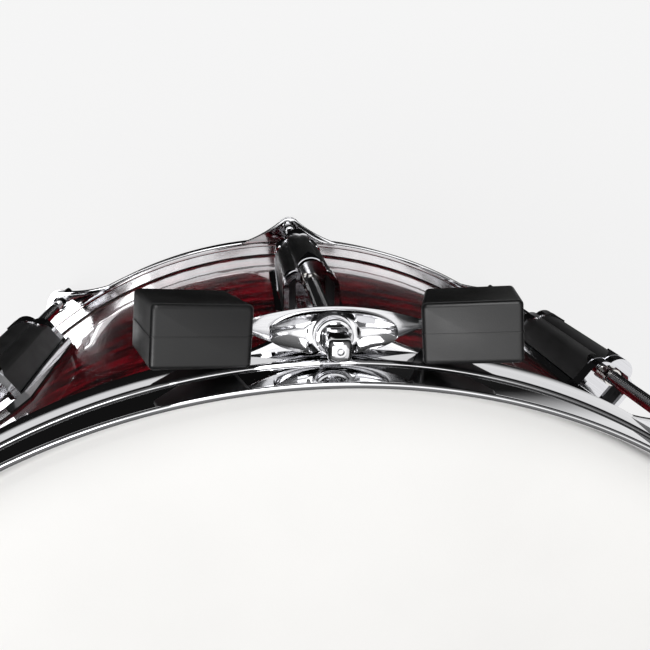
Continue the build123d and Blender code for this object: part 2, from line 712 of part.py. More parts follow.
with BuildPart() as rest_saddle:
    with BuildSketch(Plane.XY.offset(SADDLE_FOOT)):
        with BuildLine():
            for edge in (SADDLE_OUTSIDE_ROD, -SADDLE_INSIDE_ROD):
                ThreePointArc(
                    (-SADDLE_HALF_LENGTH, -PITCH_RADIUS - SADDLE_MIDDLE),
                    (0, -PITCH_RADIUS - edge),
                    (SADDLE_HALF_LENGTH, -PITCH_RADIUS - SADDLE_MIDDLE),
                )
        make_face()
    extrude(amount=SADDLE_THICKNESS + SADDLE_WING_RISE)
    fillet(rest_saddle.edges().group_by(Axis.Z)[-1], SADDLE_ROUND)
    with BuildSketch(Plane.XY.offset(SADDLE_TOP)):
        with Locations((0, -PITCH_RADIUS)):
            Circle(WASHER_RADIUS + SADDLE_SEAT_CLEARANCE)
    extrude(amount=SADDLE_WING_RISE, mode=Mode.SUBTRACT)
    for wing in (-1, 1):
        with Locations((wing * DIMPLE_OFFSET, -PITCH_RADIUS - SADDLE_MIDDLE, DIMPLE_CENTRE)):
            Sphere(DIMPLE_RADIUS, mode=Mode.SUBTRACT)
    with BuildSketch(Plane.XY.offset(SADDLE_FOOT)):
        with Locations((-SADDLE_SLOT_OFFSET, -PITCH_RADIUS - SADDLE_MIDDLE)):
            SlotOverall(SADDLE_SLOT_LENGTH, 2 * SADDLE_SLOT_RADIUS)
        with Locations((0, -PITCH_RADIUS)):
            Circle(EAR_HOLE_RADIUS)
    extrude(amount=SADDLE_THICKNESS + SADDLE_WING_RISE, mode=Mode.SUBTRACT)
save(rest_saddle.part, "rest_saddle")

for name, sign in (("rest_block_left", -1), ("rest_block_right", 1)):
    toe = radians(BLOCK_TOE_IN) * sign
    pitch = radians(BLOCK_PITCH)
    outward_face = Vector(-sin(toe) * cos(pitch), -sin(pitch), cos(toe) * cos(pitch))
    block_plane = Plane(
        origin=(
            sign * BLOCK_OFFSET,
            -PITCH_RADIUS - BLOCK_OUTSIDE_ROD,
            HEIGHT - BLOCK_BELOW_LIP,
        ),
        x_dir=Vector(cos(toe), 0, sin(toe)).rotate(Axis.Z, -sign * BLOCK_TILT),
        z_dir=outward_face.rotate(Axis.Z, -sign * BLOCK_TILT),
    )
    with BuildPart(block_plane) as block:
        Box(
            BLOCK_WIDTH,
            BLOCK_HEIGHT,
            BLOCK_DEPTH,
            align=(Align.CENTER, Align.CENTER, Align.MAX),
        )
        fillet(block.edges(), BLOCK_ROUND)
        slot_foot = STRAP_FOOT - TANG_CLEARANCE
        with BuildSketch(Plane.XY.offset(slot_foot)):
            with Locations((sign * (TANG_END + TANG_CLEARANCE), -PITCH_RADIUS + TANG_CLEARANCE)):
                Rectangle(
                    TANG_END,
                    STRAP_NECK_WIDTH + 2 * TANG_CLEARANCE,
                    align=(Align.MAX if sign > 0 else Align.MIN, Align.MAX),
                )
        extrude(amount=STRAP_THICKNESS + 2 * TANG_CLEARANCE, mode=Mode.SUBTRACT)
    save(block.part, name)
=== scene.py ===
import json
import logging
import math
from collections.abc import Callable, Sequence
from dataclasses import dataclass
from enum import Enum

import bmesh
import bpy
from mathutils import Matrix, Vector

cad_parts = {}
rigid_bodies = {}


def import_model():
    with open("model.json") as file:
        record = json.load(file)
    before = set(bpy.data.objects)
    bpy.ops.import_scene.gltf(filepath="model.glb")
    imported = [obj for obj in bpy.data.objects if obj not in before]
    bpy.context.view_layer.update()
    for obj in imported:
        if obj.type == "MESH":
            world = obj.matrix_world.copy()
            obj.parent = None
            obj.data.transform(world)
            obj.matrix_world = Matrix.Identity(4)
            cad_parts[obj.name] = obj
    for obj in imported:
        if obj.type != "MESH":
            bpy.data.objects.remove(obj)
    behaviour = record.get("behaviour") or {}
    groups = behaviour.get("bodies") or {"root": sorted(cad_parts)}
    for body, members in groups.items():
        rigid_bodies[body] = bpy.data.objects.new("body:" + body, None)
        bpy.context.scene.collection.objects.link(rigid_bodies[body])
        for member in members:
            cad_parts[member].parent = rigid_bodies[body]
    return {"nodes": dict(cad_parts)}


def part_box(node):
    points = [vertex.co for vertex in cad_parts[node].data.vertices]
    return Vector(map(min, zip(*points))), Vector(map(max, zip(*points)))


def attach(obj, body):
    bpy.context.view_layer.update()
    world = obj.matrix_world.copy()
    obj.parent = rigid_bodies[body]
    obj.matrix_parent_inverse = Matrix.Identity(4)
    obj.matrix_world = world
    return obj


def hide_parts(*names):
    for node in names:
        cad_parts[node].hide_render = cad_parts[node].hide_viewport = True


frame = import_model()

LOG = logging.getLogger("drum")
MM = 0.001
FULL_TURN = 2 * math.pi
ROOT_BODY = "drum"
LUG_COUNT = 10
FRONT_ANGLE = -math.pi / 2
SHARP_ANGLE = math.radians(32)
BEVEL_ANGLE = math.radians(40)
LEVELLED = (1.0, 1.0, 0.0)
CIRCLE_STEPS = 40
# Most of a noise's values lie between these two
NOISE_LOW = 0.3
NOISE_HIGH = 0.7


class End(Enum):
    """The two ends of the drum."""

    BATTER = "batter"
    RESONANT = "resonant"


# ------------------------------------------------------------------ small tools


def linear(code: str) -> tuple[float, float, float, float]:
    """Turn an sRGB hex code into the linear colour that a shader wants.

    Args:
        code: Six hex digits, with or without a leading #.

    Returns:
        Red, green, blue and an alpha of one.
    """
    digits = code.lstrip("#")
    parts = [int(digits[i : i + 2], 16) / 255 for i in (0, 2, 4)]
    red, green, blue = (
        p / 12.92 if p <= 0.04045 else ((p + 0.055) / 1.055) ** 2.4 for p in parts
    )
    return red, green, blue, 1.0


def add_node(
    tree: bpy.types.NodeTree,
    kind: str,
    props: dict[str, object] | None = None,
    values: dict[str | int, object] | None = None,
    links: dict[str | int, bpy.types.NodeSocket] | None = None,
    stops: Sequence[tuple[float, tuple[float, float, float, float]]] = (),
) -> bpy.types.Node:
    """Add a node with its settings and what feeds it.

    Args:
        tree: The node tree it goes in.
        kind: The node's type name.
        props: Its own settings, by attribute name.
        values: Constants for its inputs, by input name or number.
        links: Outputs of other nodes for its inputs.
        stops: Position and colour of each stop, where it has a ramp.

    Returns:
        The new node.
    """
    node = tree.nodes.new(kind)
    for name, value in (props or {}).items():
        setattr(node, name, value)
    for key, value in (values or {}).items():
        node.inputs[key].default_value = value
    for key, source in (links or {}).items():
        tree.links.new(source, node.inputs[key])
    for index, (position, colour) in enumerate(stops):
        ramp = node.color_ramp.elements
        element = ramp[index] if index < len(ramp) else ramp.new(position)
        element.position = position
        element.color = colour
    return node


def new_object(name: str, mesh: bpy.types.Mesh) -> bpy.types.Object:
    """Put a mesh into the scene as an object at the origin.

    Args:
        name: The object's name.
        mesh: Its mesh.

    Returns:
        The object.
    """
    thing = bpy.data.objects.new(name, mesh)
    bpy.context.scene.collection.objects.link(thing)
    return thing


def mesh_from(
    name: str, points: Sequence[Sequence[float]], faces: Sequence[Sequence[int]]
) -> bpy.types.Mesh:
    """Make a closed, outward-facing mesh from points in millimetres.

    Args:
        name: The mesh's name.
        points: Its vertices, in millimetres.
        faces: Vertex numbers of each face.

    Returns:
        The mesh, in metres, with doubles merged and normals outward.
    """
    mesh = bpy.data.meshes.new(name)
    mesh.from_pydata([tuple(c * MM for c in p) for p in points], [], faces)
    work = bmesh.new()
    work.from_mesh(mesh)
    bmesh.ops.remove_doubles(work, verts=work.verts, dist=0.001 * MM)
    bmesh.ops.recalc_face_normals(work, faces=work.faces)
    work.to_mesh(mesh)
    work.free()
    smooth(mesh)
    return mesh


def smooth(mesh: bpy.types.Mesh, angle: float = SHARP_ANGLE) -> None:
    """Shade a mesh smooth, with edges sharper than an angle left crisp."""
    mesh.shade_smooth()
    mesh.set_sharp_from_angle(angle=angle)


def joined(name: str, meshes: Sequence[bpy.types.Mesh]) -> bpy.types.Mesh:
    """Merge several meshes into one, each staying its own shell.

    Args:
        name: The new mesh's name.
        meshes: The meshes that go in.

    Returns:
        The new mesh.
    """
    work = bmesh.new()
    for mesh in meshes:
        work.from_mesh(mesh)
    whole = bpy.data.meshes.new(name)
    work.to_mesh(whole)
    work.free()
    smooth(whole)
    return whole


def loft(name: str, rings: Sequence[Sequence[Sequence[float]]]) -> bpy.types.Mesh:
    """Skin a stack of rings that have the same number of points, and close both ends.

    Args:
        name: The mesh's name.
        rings: Each ring's points, in millimetres.

    Returns:
        The closed mesh.
    """
    count = len(rings[0])
    points = [point for ring in rings for point in ring]
    faces = [
        (
            ring * count + k,
            ring * count + (k + 1) % count,
            (ring + 1) * count + (k + 1) % count,
            (ring + 1) * count + k,
        )
        for ring in range(len(rings) - 1)
        for k in range(count)
    ]
    faces.append(tuple(range(count)))
    faces.append(tuple((len(rings) - 1) * count + k for k in range(count)))
    return mesh_from(name, points, faces)


def revolved(name: str, profile: Sequence[tuple[float, float]], segments: int) -> bpy.types.Mesh:
    """Spin a closed profile round the drum's axis.

    Args:
        name: The mesh's name.
        profile: Radius and height of each corner, in millimetres.
        segments: How many steps go round.

    Returns:
        The ring.
    """
    size = len(profile)
    points = []
    for step in range(segments):
        turn = FULL_TURN * step / segments
        points += [(r * math.cos(turn), r * math.sin(turn), z) for r, z in profile]
    faces = [
        (
            here * size + k,
            here * size + (k + 1) % size,
            (here + 1) % segments * size + (k + 1) % size,
            (here + 1) % segments * size + k,
        )
        for here in range(segments)
        for k in range(size)
    ]
    return mesh_from(name, points, faces)


def rounded(
    corners: Sequence[tuple[float, float]], radii: Sequence[float], steps: int = 5
) -> list[tuple[float, float]]:
    """Round the corners of a closed polygon.

    Args:
        corners: The sharp corners, in order.
        radii: The radius at each corner, 0 to leave it sharp.
        steps: Points on each round, less one.

    Returns:
        The corners of the rounded polygon.
    """
    made: list[tuple[float, float]] = []
    count = len(corners)
    for index, (corner, radius) in enumerate(zip(corners, radii)):
        here = Vector(corner)
        if radius <= 0:
            made.append(corner)
            continue
        back = (Vector(corners[index - 1]) - here).normalized()
        ahead = (Vector(corners[(index + 1) % count]) - here).normalized()
        half = back.angle(ahead) / 2
        reach = radius / math.tan(half)
        centre = here + (back + ahead).normalized() * (radius / math.sin(half))
        first = here + back * reach - centre
        last = here + ahead * reach - centre
        sweep = first.angle_signed(last)
        for step in range(steps + 1):
            arm = first.copy()
            arm.rotate(Matrix.Rotation(-sweep * step / steps, 2))
            made.append(tuple(centre + arm))
    return made



class Tree:
    """A Geometry Nodes tree under construction, with named inputs."""

    def __init__(self, name: str, floats: Sequence[str] = (), whole: Sequence[str] = ()) -> None:
        """Start a tree.

        Args:
            name: The tree's name.
            floats: Names of its number inputs.
            whole: Names of its whole-number inputs.
        """
        self.tree = bpy.data.node_groups.new(name, "GeometryNodeTree")
        self.ids: dict[str, str] = {}
        wanted = [("Blank", "Geometry")]
        wanted += [(label, "Float") for label in floats] + [(label, "Int") for label in whole]
        wanted.append(("Finish", "Material"))
        for label, kind in wanted:
            socket = self.tree.interface.new_socket(
                label, in_out="INPUT", socket_type=f"NodeSocket{kind}"
            )
            self.ids[label] = socket.identifier
        self.tree.interface.new_socket(
            "Result", in_out="OUTPUT", socket_type="NodeSocketGeometry"
        )
        self.given = self.tree.nodes.new("NodeGroupInput").outputs

    def node(
        self,
        kind: str,
        props: dict[str, object] | None = None,
        values: dict[str | int, object] | None = None,
        links: dict[str | int, bpy.types.NodeSocket] | None = None,
    ) -> bpy.types.bpy_prop_collection:
        """Add a node and give its outputs. The arguments are those of add_node."""
        return add_node(self.tree, kind, props, values, links).outputs

    def work_out(
        self,
        sums: Sequence[tuple[str | float, ...]],
        known: dict[str, bpy.types.NodeSocket],
    ) -> dict[str, bpy.types.NodeSocket]:
        """Do a list of sums, one after another.

        Args:
            sums: For each sum its result's name, its operation and its terms, numbers or names.
            known: The sockets that the first sums name.

        Returns:
            The known sockets and every result, by name.
        """
        found = dict(known)
        for result, operation, *terms in sums:
            values = {i: term for i, term in enumerate(terms) if not isinstance(term, str)}
            links = {i: found[term] for i, term in enumerate(terms) if isinstance(term, str)}
            found[result] = self.node("ShaderNodeMath", {"operation": operation}, values, links)[0]
        return found

    def close(self, geometry: bpy.types.NodeSocket) -> None:
        """End the tree: real geometry, with its finish set.

        Args:
            geometry: The socket of the finished geometry.
        """
        real = self.node("GeometryNodeRealizeInstances", links={0: geometry})[0]
        painted = self.node(
            "GeometryNodeSetMaterial", links={"Geometry": real, "Material": self.given["Finish"]}
        )[0]
        end = self.tree.nodes.new("NodeGroupOutput")
        self.tree.links.new(painted, end.inputs[0])

    def run(
        self, name: str, blank: bpy.types.Mesh, finish: bpy.types.Material, **inputs: float
    ) -> bpy.types.Mesh:
        """Run the tree on a mesh.

        Args:
            name: The result's name.
            blank: The mesh that goes in.
            finish: The material of the result.
            inputs: The tree's other inputs, spaces in their names written as underscores.

        Returns:
            A plain mesh.
        """
        holder = new_object(name, blank)
        modifier = holder.modifiers.new(self.tree.name, "NODES")
        modifier.node_group = self.tree
        modifier[self.ids["Finish"]] = finish
        for label, value in inputs.items():
            modifier[self.ids[label.replace("_", " ")]] = value
        ready = holder.evaluated_get(bpy.context.evaluated_depsgraph_get())
        mesh = bpy.data.meshes.new_from_object(ready)
        mesh.name = name
        holder.modifiers.remove(modifier)
        bpy.data.objects.remove(holder)
        smooth(mesh)
        return mesh


def ring_tree() -> Tree:
    """Make the tree that repeats a piece round the drum's axis.

    Returns:
        The tree, with inputs for the start angle, the count and the finish.
    """
    made = Tree("round_the_drum", ["Start Angle"], ["Count"])
    spots = made.node("GeometryNodePoints", links={"Count": made.given["Count"]})[0]
    known = {name: made.given[name] for name in ("Start Angle", "Count")}
    known["index"] = made.node("GeometryNodeInputIndex")[0]
    sums = [
        ("step", "DIVIDE", FULL_TURN, "Count"),
        ("turn", "MULTIPLY_ADD", "index", "step", "Start Angle"),
    ]
    turn = made.work_out(sums, known)["turn"]
    rotation = made.node("ShaderNodeCombineXYZ", links={"Z": turn})[0]
    copies = made.node(
        "GeometryNodeInstanceOnPoints",
        links={"Points": spots, "Instance": made.given["Blank"], "Rotation": rotation},
    )[0]
    made.close(copies)
    return made


def thread_tree(around: int, rows: int) -> Tree:
    """Make the tree that rolls a thread onto a rod's blank.

    Args:
        around: Steps round the rod.
        rows: Steps along the thread.

    Returns:
        The tree. Its thread starts at the blank's origin and runs along +Z.
    """
    inputs = ["Core Radius", "Ridge Height", "Pitch", "Length"]
    made = Tree("rolled_thread", inputs)
    tube = made.node(
        "GeometryNodeMeshCylinder",
        values={"Vertices": around, "Side Segments": rows, "Radius": 1.0, "Depth": 1.0},
    )[0]
    place = made.node("GeometryNodeInputPosition")[0]
    known = {name: made.given[name] for name in inputs}
    known.update(zip("xyz", made.node("ShaderNodeSeparateXYZ", links={0: place})))
    sums = [
        ("from foot", "ADD", "z", 0.5),
        ("along", "MULTIPLY", "from foot", "Length"),
        ("bearing", "ARCTAN2", "y", "x"),
        ("turn", "DIVIDE", "bearing", FULL_TURN),
        ("pitches", "DIVIDE", "along", "Pitch"),
        ("helix", "SUBTRACT", "pitches", "turn"),
        ("phase", "FRACT", "helix"),
        ("swing", "MULTIPLY_ADD", "phase", 2.0, -1.0),
        ("groove", "ABSOLUTE", "swing"),
        ("ridge", "SUBTRACT", 1.0, "groove"),
        ("to end", "SUBTRACT", "Length", "along"),
        ("nearest end", "MINIMUM", "along", "to end"),
        ("run-out", "DIVIDE", "nearest end", "Pitch"),
        ("fade", "MINIMUM", 1.0, "run-out"),
        ("faded ridge", "MULTIPLY", "ridge", "fade"),
        ("rise", "MULTIPLY", "faded ridge", "Ridge Height"),
        ("radius", "ADD", "Core Radius", "rise"),
        ("X", "MULTIPLY", "x", "radius"),
        ("Y", "MULTIPLY", "y", "radius"),
    ]
    found = made.work_out(sums, known)
    spot = made.node(
        "ShaderNodeCombineXYZ", links={"X": found["X"], "Y": found["Y"], "Z": found["along"]}
    )[0]
    cut = made.node("GeometryNodeSetPosition", links={"Geometry": tube, "Position": spot})[0]
    both = made.node("GeometryNodeJoinGeometry", links={0: cut})[0]
    made.tree.links.new(made.given["Blank"], both.node.inputs[0])
    made.close(both)
    return made


def softened(mesh: bpy.types.Mesh, width_mm: float, segments: int = 3) -> bpy.types.Mesh:
    """Break a mesh's sharp edges with a small round.

    Args:
        mesh: The mesh, which is used up.
        width_mm: The round's size in millimetres.
        segments: Faces across the round.

    Returns:
        The new mesh.
    """
    holder = new_object(mesh.name, mesh)
    bevel = holder.modifiers.new("edge", "BEVEL")
    bevel.width = width_mm * MM
    bevel.segments = segments
    bevel.angle_limit = BEVEL_ANGLE
    ready = holder.evaluated_get(bpy.context.evaluated_depsgraph_get())
    made = bpy.data.meshes.new_from_object(ready)
    bpy.data.objects.remove(holder)
    smooth(made)
    return made


def slab(
    name: str, outline: Sequence[tuple[float, float]], low: float, high: float
) -> bpy.types.Mesh:
    """Raise a flat outline between two heights, all in millimetres."""
    return loft(name, [[(x, y, z) for x, y in outline] for z in (low, high)])


def plate(
    name: str,
    top: Callable[[float, float], tuple[float, float, float]],
    bottom: Callable[[float, float], tuple[float, float, float]],
    steps: tuple[int, int],
) -> bpy.types.Mesh:
    """Close a curved sheet between a top and a bottom surface.

    Args:
        name: The mesh's name.
        top: The upper surface, from two numbers between 0 and 1.
        bottom: The lower surface, likewise.
        steps: How many steps each number takes.

    Returns:
        The closed mesh.
    """
    wide, deep = steps
    points = [
        surface(i / wide, j / deep)
        for surface in (top, bottom)
        for i in range(wide + 1)
        for j in range(deep + 1)
    ]
    row, layer = deep + 1, (wide + 1) * (deep + 1)
    faces = []
    for i in range(wide):
        for j in range(deep):
            a = i * row + j
            faces.append((a, a + row, a + row + 1, a + 1))
            faces.append((layer + a, layer + a + 1, layer + a + row + 1, layer + a + row))
    rim = [i * row for i in range(wide + 1)]
    rim += [wide * row + j for j in range(1, deep + 1)]
    rim += [i * row + deep for i in range(wide - 1, -1, -1)]
    rim += [j for j in range(deep - 1, 0, -1)]
    for a, b in zip(rim, rim[1:] + rim[:1]):
        faces.append((a, b, layer + b, layer + a))
    return mesh_from(name, points, faces)


def arc(
    centre: tuple[float, float], radius: float, start: float, stop: float, steps: int
) -> list[tuple[float, float]]:
    """Points along an arc.

    Args:
        centre: The arc's centre.
        radius: Its radius.
        start: Where it starts, in radians.
        stop: Where it ends, in radians.
        steps: How many steps it takes.

    Returns:
        The points, with both ends.
    """
    angles = [start + (stop - start) * k / steps for k in range(steps + 1)]
    return [(centre[0] + radius * math.cos(t), centre[1] + radius * math.sin(t)) for t in angles]


def circle(
    centre: tuple[float, float], radius: float, height: float
) -> list[tuple[float, float, float]]:
    """A level ring of points for lofting, in CIRCLE_STEPS steps."""
    return [(x, y, height) for x, y in arc(centre, radius, 0, FULL_TURN, CIRCLE_STEPS)[:-1]]


def through(
    first: tuple[float, float], middle: tuple[float, float], last: tuple[float, float], steps: int
) -> list[tuple[float, float]]:
    """Points along the arc through three points.

    Args:
        first: Where the arc starts.
        middle: A point on its way.
        last: Where it ends.
        steps: How many steps it takes.

    Returns:
        The points, with both ends.
    """
    (ax, ay), (bx, by), (cx, cy) = first, middle, last
    twice = 2 * (ax * (by - cy) + bx * (cy - ay) + cx * (ay - by))
    a2, b2, c2 = ax * ax + ay * ay, bx * bx + by * by, cx * cx + cy * cy
    centre = (
        (a2 * (by - cy) + b2 * (cy - ay) + c2 * (ay - by)) / twice,
        (a2 * (cx - bx) + b2 * (ax - cx) + c2 * (bx - ax)) / twice,
    )
    radius = math.hypot(ax - centre[0], ay - centre[1])
    start = math.atan2(ay - centre[1], ax - centre[0])
    stop = math.atan2(cy - centre[1], cx - centre[0])
    mid = math.atan2(by - centre[1], bx - centre[0])
    sweep = math.remainder(mid - start, FULL_TURN) + math.remainder(stop - mid, FULL_TURN)
    return arc(centre, radius, start, start + sweep, steps)


# ------------------------------------------------------------------ finishes


@dataclass(frozen=True)
class Finish:
    """A plain finish, with a fine grain in its colour, gloss and surface."""

    name: str
    colour: str
    roughness: float
    metallic: float = 0.0
    ior: float = 1.5
    coat: float = 0.0
    coat_roughness: float = 0.03
    grain_mm: float = 0.4
    grain_depth_mm: float = 0.01
    colour_spread: float = 0.12
    roughness_spread: float = 0.08
    drift_in_grains: float = 40.0

    def build(self) -> bpy.types.Material:
        """Make the material.

        Returns:
            The material, with its grain, its drift and its coat wired in.
        """
        material = bpy.data.materials.new(self.name)
        material.use_nodes = True
        tree = material.node_tree
        shader = tree.nodes["Principled BSDF"]
        shader.inputs["Base Color"].default_value = linear(self.colour)
        shader.inputs["Roughness"].default_value = self.roughness
        shader.inputs["Metallic"].default_value = self.metallic
        if self.metallic < 1.0:
            shader.inputs["IOR"].default_value = self.ior
        shader.inputs["Coat Weight"].default_value = self.coat
        shader.inputs["Coat Roughness"].default_value = self.coat_roughness
        place = add_node(tree, "ShaderNodeTexCoord").outputs["Object"]
        colour, gloss, normal = self.dress(tree, place)
        tree.links.new(colour, shader.inputs["Base Color"])
        tree.links.new(gloss, shader.inputs["Roughness"])
        for name in ("Normal", "Coat Normal") if self.coat else ("Normal",):
            tree.links.new(normal, shader.inputs[name])
        return material

    def shades(self) -> list[tuple[float, tuple[float, float, float, float]]]:
        """Make ramp stops a little darker and a little lighter than the base colour.

        Returns:
            Place and colour of each stop.
        """
        base = linear(self.colour)[:3]
        low = tuple(c * (1 - self.colour_spread) for c in base) + (1.0,)
        high = tuple(min(1.0, c * (1 + self.colour_spread)) for c in base) + (1.0,)
        return [(NOISE_LOW, low), (NOISE_HIGH, high)]

    def dress(
        self, tree: bpy.types.NodeTree, place: bpy.types.NodeSocket
    ) -> tuple[bpy.types.NodeSocket, bpy.types.NodeSocket, bpy.types.NodeSocket]:
        """Draw the pattern: a fine grain, and a slow drift in gloss from handling.

        Args:
            tree: The material's node tree.
            place: Object coordinates.

        Returns:
            Colour, roughness and normal.
        """
        drift_mm = self.grain_mm * self.drift_in_grains
        grain, drift = (
            add_node(
                tree,
                "ShaderNodeTexNoise",
                values={"Scale": 1 / (size_mm * MM), "Detail": detail},
                links={"Vector": place},
            ).outputs["Fac"]
            for size_mm, detail in ((self.grain_mm, 3.0), (drift_mm, 2.0))
        )
        colour = add_node(tree, "ShaderNodeValToRGB", links={"Fac": drift}, stops=self.shades())
        gloss = add_node(
            tree,
            "ShaderNodeMapRange",
            values={
                "From Min": NOISE_LOW,
                "From Max": NOISE_HIGH,
                "To Min": max(0.02, self.roughness - self.roughness_spread),
                "To Max": min(1.0, self.roughness + self.roughness_spread),
            },
            links={"Value": drift},
        )
        normal = add_node(
            tree,
            "ShaderNodeBump",
            values={"Distance": self.grain_depth_mm * MM, "Strength": 1.0},
            links={"Height": grain},
        )
        return colour.outputs["Color"], gloss.outputs["Result"], normal.outputs["Normal"]


@dataclass(frozen=True)
class PolishedChrome(Finish):
    """Bright chromium over nickel on pressed or cast metal: a mirror with faint polishing lines."""

    wave_mm: float = 16.0
    wave_depth_mm: float = 0.02
    line_mm: float = 0.35
    smudge_in_waves: float = 1.7
    clean: float = 0.6
    smudged: float = 1.9

    def dress(
        self, tree: bpy.types.NodeTree, place: bpy.types.NodeSocket
    ) -> tuple[bpy.types.NodeSocket, bpy.types.NodeSocket, bpy.types.NodeSocket]:
        """Draw a slow ripple in the plating, and fine lines that run round the drum.

        Args:
            tree: The material's node tree.
            place: Object coordinates.

        Returns:
            Colour, roughness and normal.
        """
        flat = add_node(
            tree, "ShaderNodeVectorMath", {"operation": "MULTIPLY"}, {1: LEVELLED}, {0: place}
        ).outputs["Vector"]
        radius = add_node(
            tree, "ShaderNodeVectorMath", {"operation": "LENGTH"}, links={0: flat}
        ).outputs["Value"]
        height = add_node(tree, "ShaderNodeSeparateXYZ", links={0: place}).outputs["Z"]
        across = add_node(tree, "ShaderNodeCombineXYZ", links={"X": radius, "Y": height}).outputs[0]
        smudge_mm = self.wave_mm * self.smudge_in_waves
        lines, wave, smudge = (
            add_node(
                tree,
                "ShaderNodeTexNoise",
                values={"Scale": 1 / (size_mm * MM), "Detail": detail},
                links={"Vector": where},
            ).outputs["Fac"]
            for where, size_mm, detail in (
                (across, self.line_mm, 4.0),
                (place, self.wave_mm, 2.0),
                (place, smudge_mm, 5.0),
            )
        )
        gloss = add_node(
            tree,
            "ShaderNodeMapRange",
            values={
                "From Min": NOISE_LOW,
                "From Max": NOISE_HIGH,
                "To Min": self.roughness * self.clean,
                "To Max": self.roughness * self.smudged,
            },
            links={"Value": smudge},
        )
        colour = add_node(tree, "ShaderNodeValToRGB", links={"Fac": lines}, stops=self.shades())
        fine = add_node(
            tree,
            "ShaderNodeBump",
            values={"Distance": self.grain_depth_mm * MM, "Strength": 1.0},
            links={"Height": lines},
        ).outputs["Normal"]
        ripple = add_node(
            tree,
            "ShaderNodeBump",
            values={"Distance": self.wave_depth_mm * MM, "Strength": 1.0},
            links={"Height": wave, "Normal": fine},
        )
        return colour.outputs["Color"], gloss.outputs["Result"], ripple.outputs["Normal"]


@dataclass(frozen=True)
class FiguredLacquer(Finish):
    """Dark red stain on figured maple under thick gloss lacquer, with bare maple on the inside."""

    dark: str = "#1b0306"
    bare: str = "#c9a06c"
    bare_roughness: float = 0.6
    outer_radius_mm: float = 177.0
    figure_mm: tuple[float, float] = (17.0, 5.0)
    pore_mm: tuple[float, float] = (0.7, 9.0)
    pore_share: float = 0.22
    middle_share: float = 0.36
    pale_bare: float = 1.25
    flow_mm: float = 22.0

    def dress(
        self, tree: bpy.types.NodeTree, place: bpy.types.NodeSocket
    ) -> tuple[bpy.types.NodeSocket, bpy.types.NodeSocket, bpy.types.NodeSocket]:
        """Draw the curly figure, the pores and the change to bare wood inside.

        Args:
            tree: The material's node tree.
            place: Object coordinates.

        Returns:
            Colour, roughness and normal.
        """
        grains = []
        for (around, along), detail in ((self.figure_mm, 5.0), (self.pore_mm, 3.0)):
            stretched = add_node(
                tree,
                "ShaderNodeMapping",
                values={"Scale": (1.0, 1.0, around / along)},
                links={"Vector": place},
            ).outputs["Vector"]
            grains.append(
                add_node(
                    tree,
                    "ShaderNodeTexNoise",
                    values={"Scale": 1 / (around * MM), "Detail": detail},
                    links={"Vector": stretched},
                ).outputs["Fac"]
            )
        figure, pores = grains
        mixed = add_node(
            tree,
            "ShaderNodeMix",
            {"data_type": "FLOAT"},
            {"Factor": self.pore_share},
            {2: figure, 3: pores},
        ).outputs[0]
        red, deep, bare = (linear(code) for code in (self.colour, self.dark, self.bare))
        middle = tuple((a + b) * self.middle_share for a, b in zip(red[:3], deep[:3])) + (1.0,)
        pale = tuple(min(1.0, c * self.pale_bare) for c in bare[:3]) + (1.0,)
        stained = add_node(
            tree,
            "ShaderNodeValToRGB",
            links={"Fac": mixed},
            stops=[(0.40, deep), (0.52, middle), (0.64, red)],
        ).outputs["Color"]
        wood = add_node(
            tree, "ShaderNodeValToRGB", links={"Fac": pores}, stops=[(0.35, bare), (0.65, pale)]
        ).outputs["Color"]
        flat = add_node(
            tree, "ShaderNodeVectorMath", {"operation": "MULTIPLY"}, {1: LEVELLED}, {0: place}
        ).outputs["Vector"]
        radius = add_node(
            tree, "ShaderNodeVectorMath", {"operation": "LENGTH"}, links={0: flat}
        ).outputs["Value"]
        outside = add_node(
            tree,
            "ShaderNodeMath",
            {"operation": "GREATER_THAN"},
            {1: self.outer_radius_mm * MM},
            {0: radius},
        ).outputs[0]
        colour = add_node(
            tree, "ShaderNodeMix", {"data_type": "RGBA"}, links={0: outside, 6: wood, 7: stained}
        )
        gloss = add_node(
            tree,
            "ShaderNodeMapRange",
            values={"To Min": self.bare_roughness, "To Max": self.roughness},
            links={"Value": outside},
        )
        flow = add_node(
            tree,
            "ShaderNodeTexNoise",
            values={"Scale": 1 / (self.flow_mm * MM), "Detail": 1.0},
            links={"Vector": place},
        ).outputs["Fac"]
        normal = add_node(
            tree,
            "ShaderNodeBump",
            values={"Distance": self.grain_depth_mm * MM, "Strength": 0.5},
            links={"Height": flow},
        )
        return colour.outputs[2], gloss.outputs["Result"], normal.outputs["Normal"]


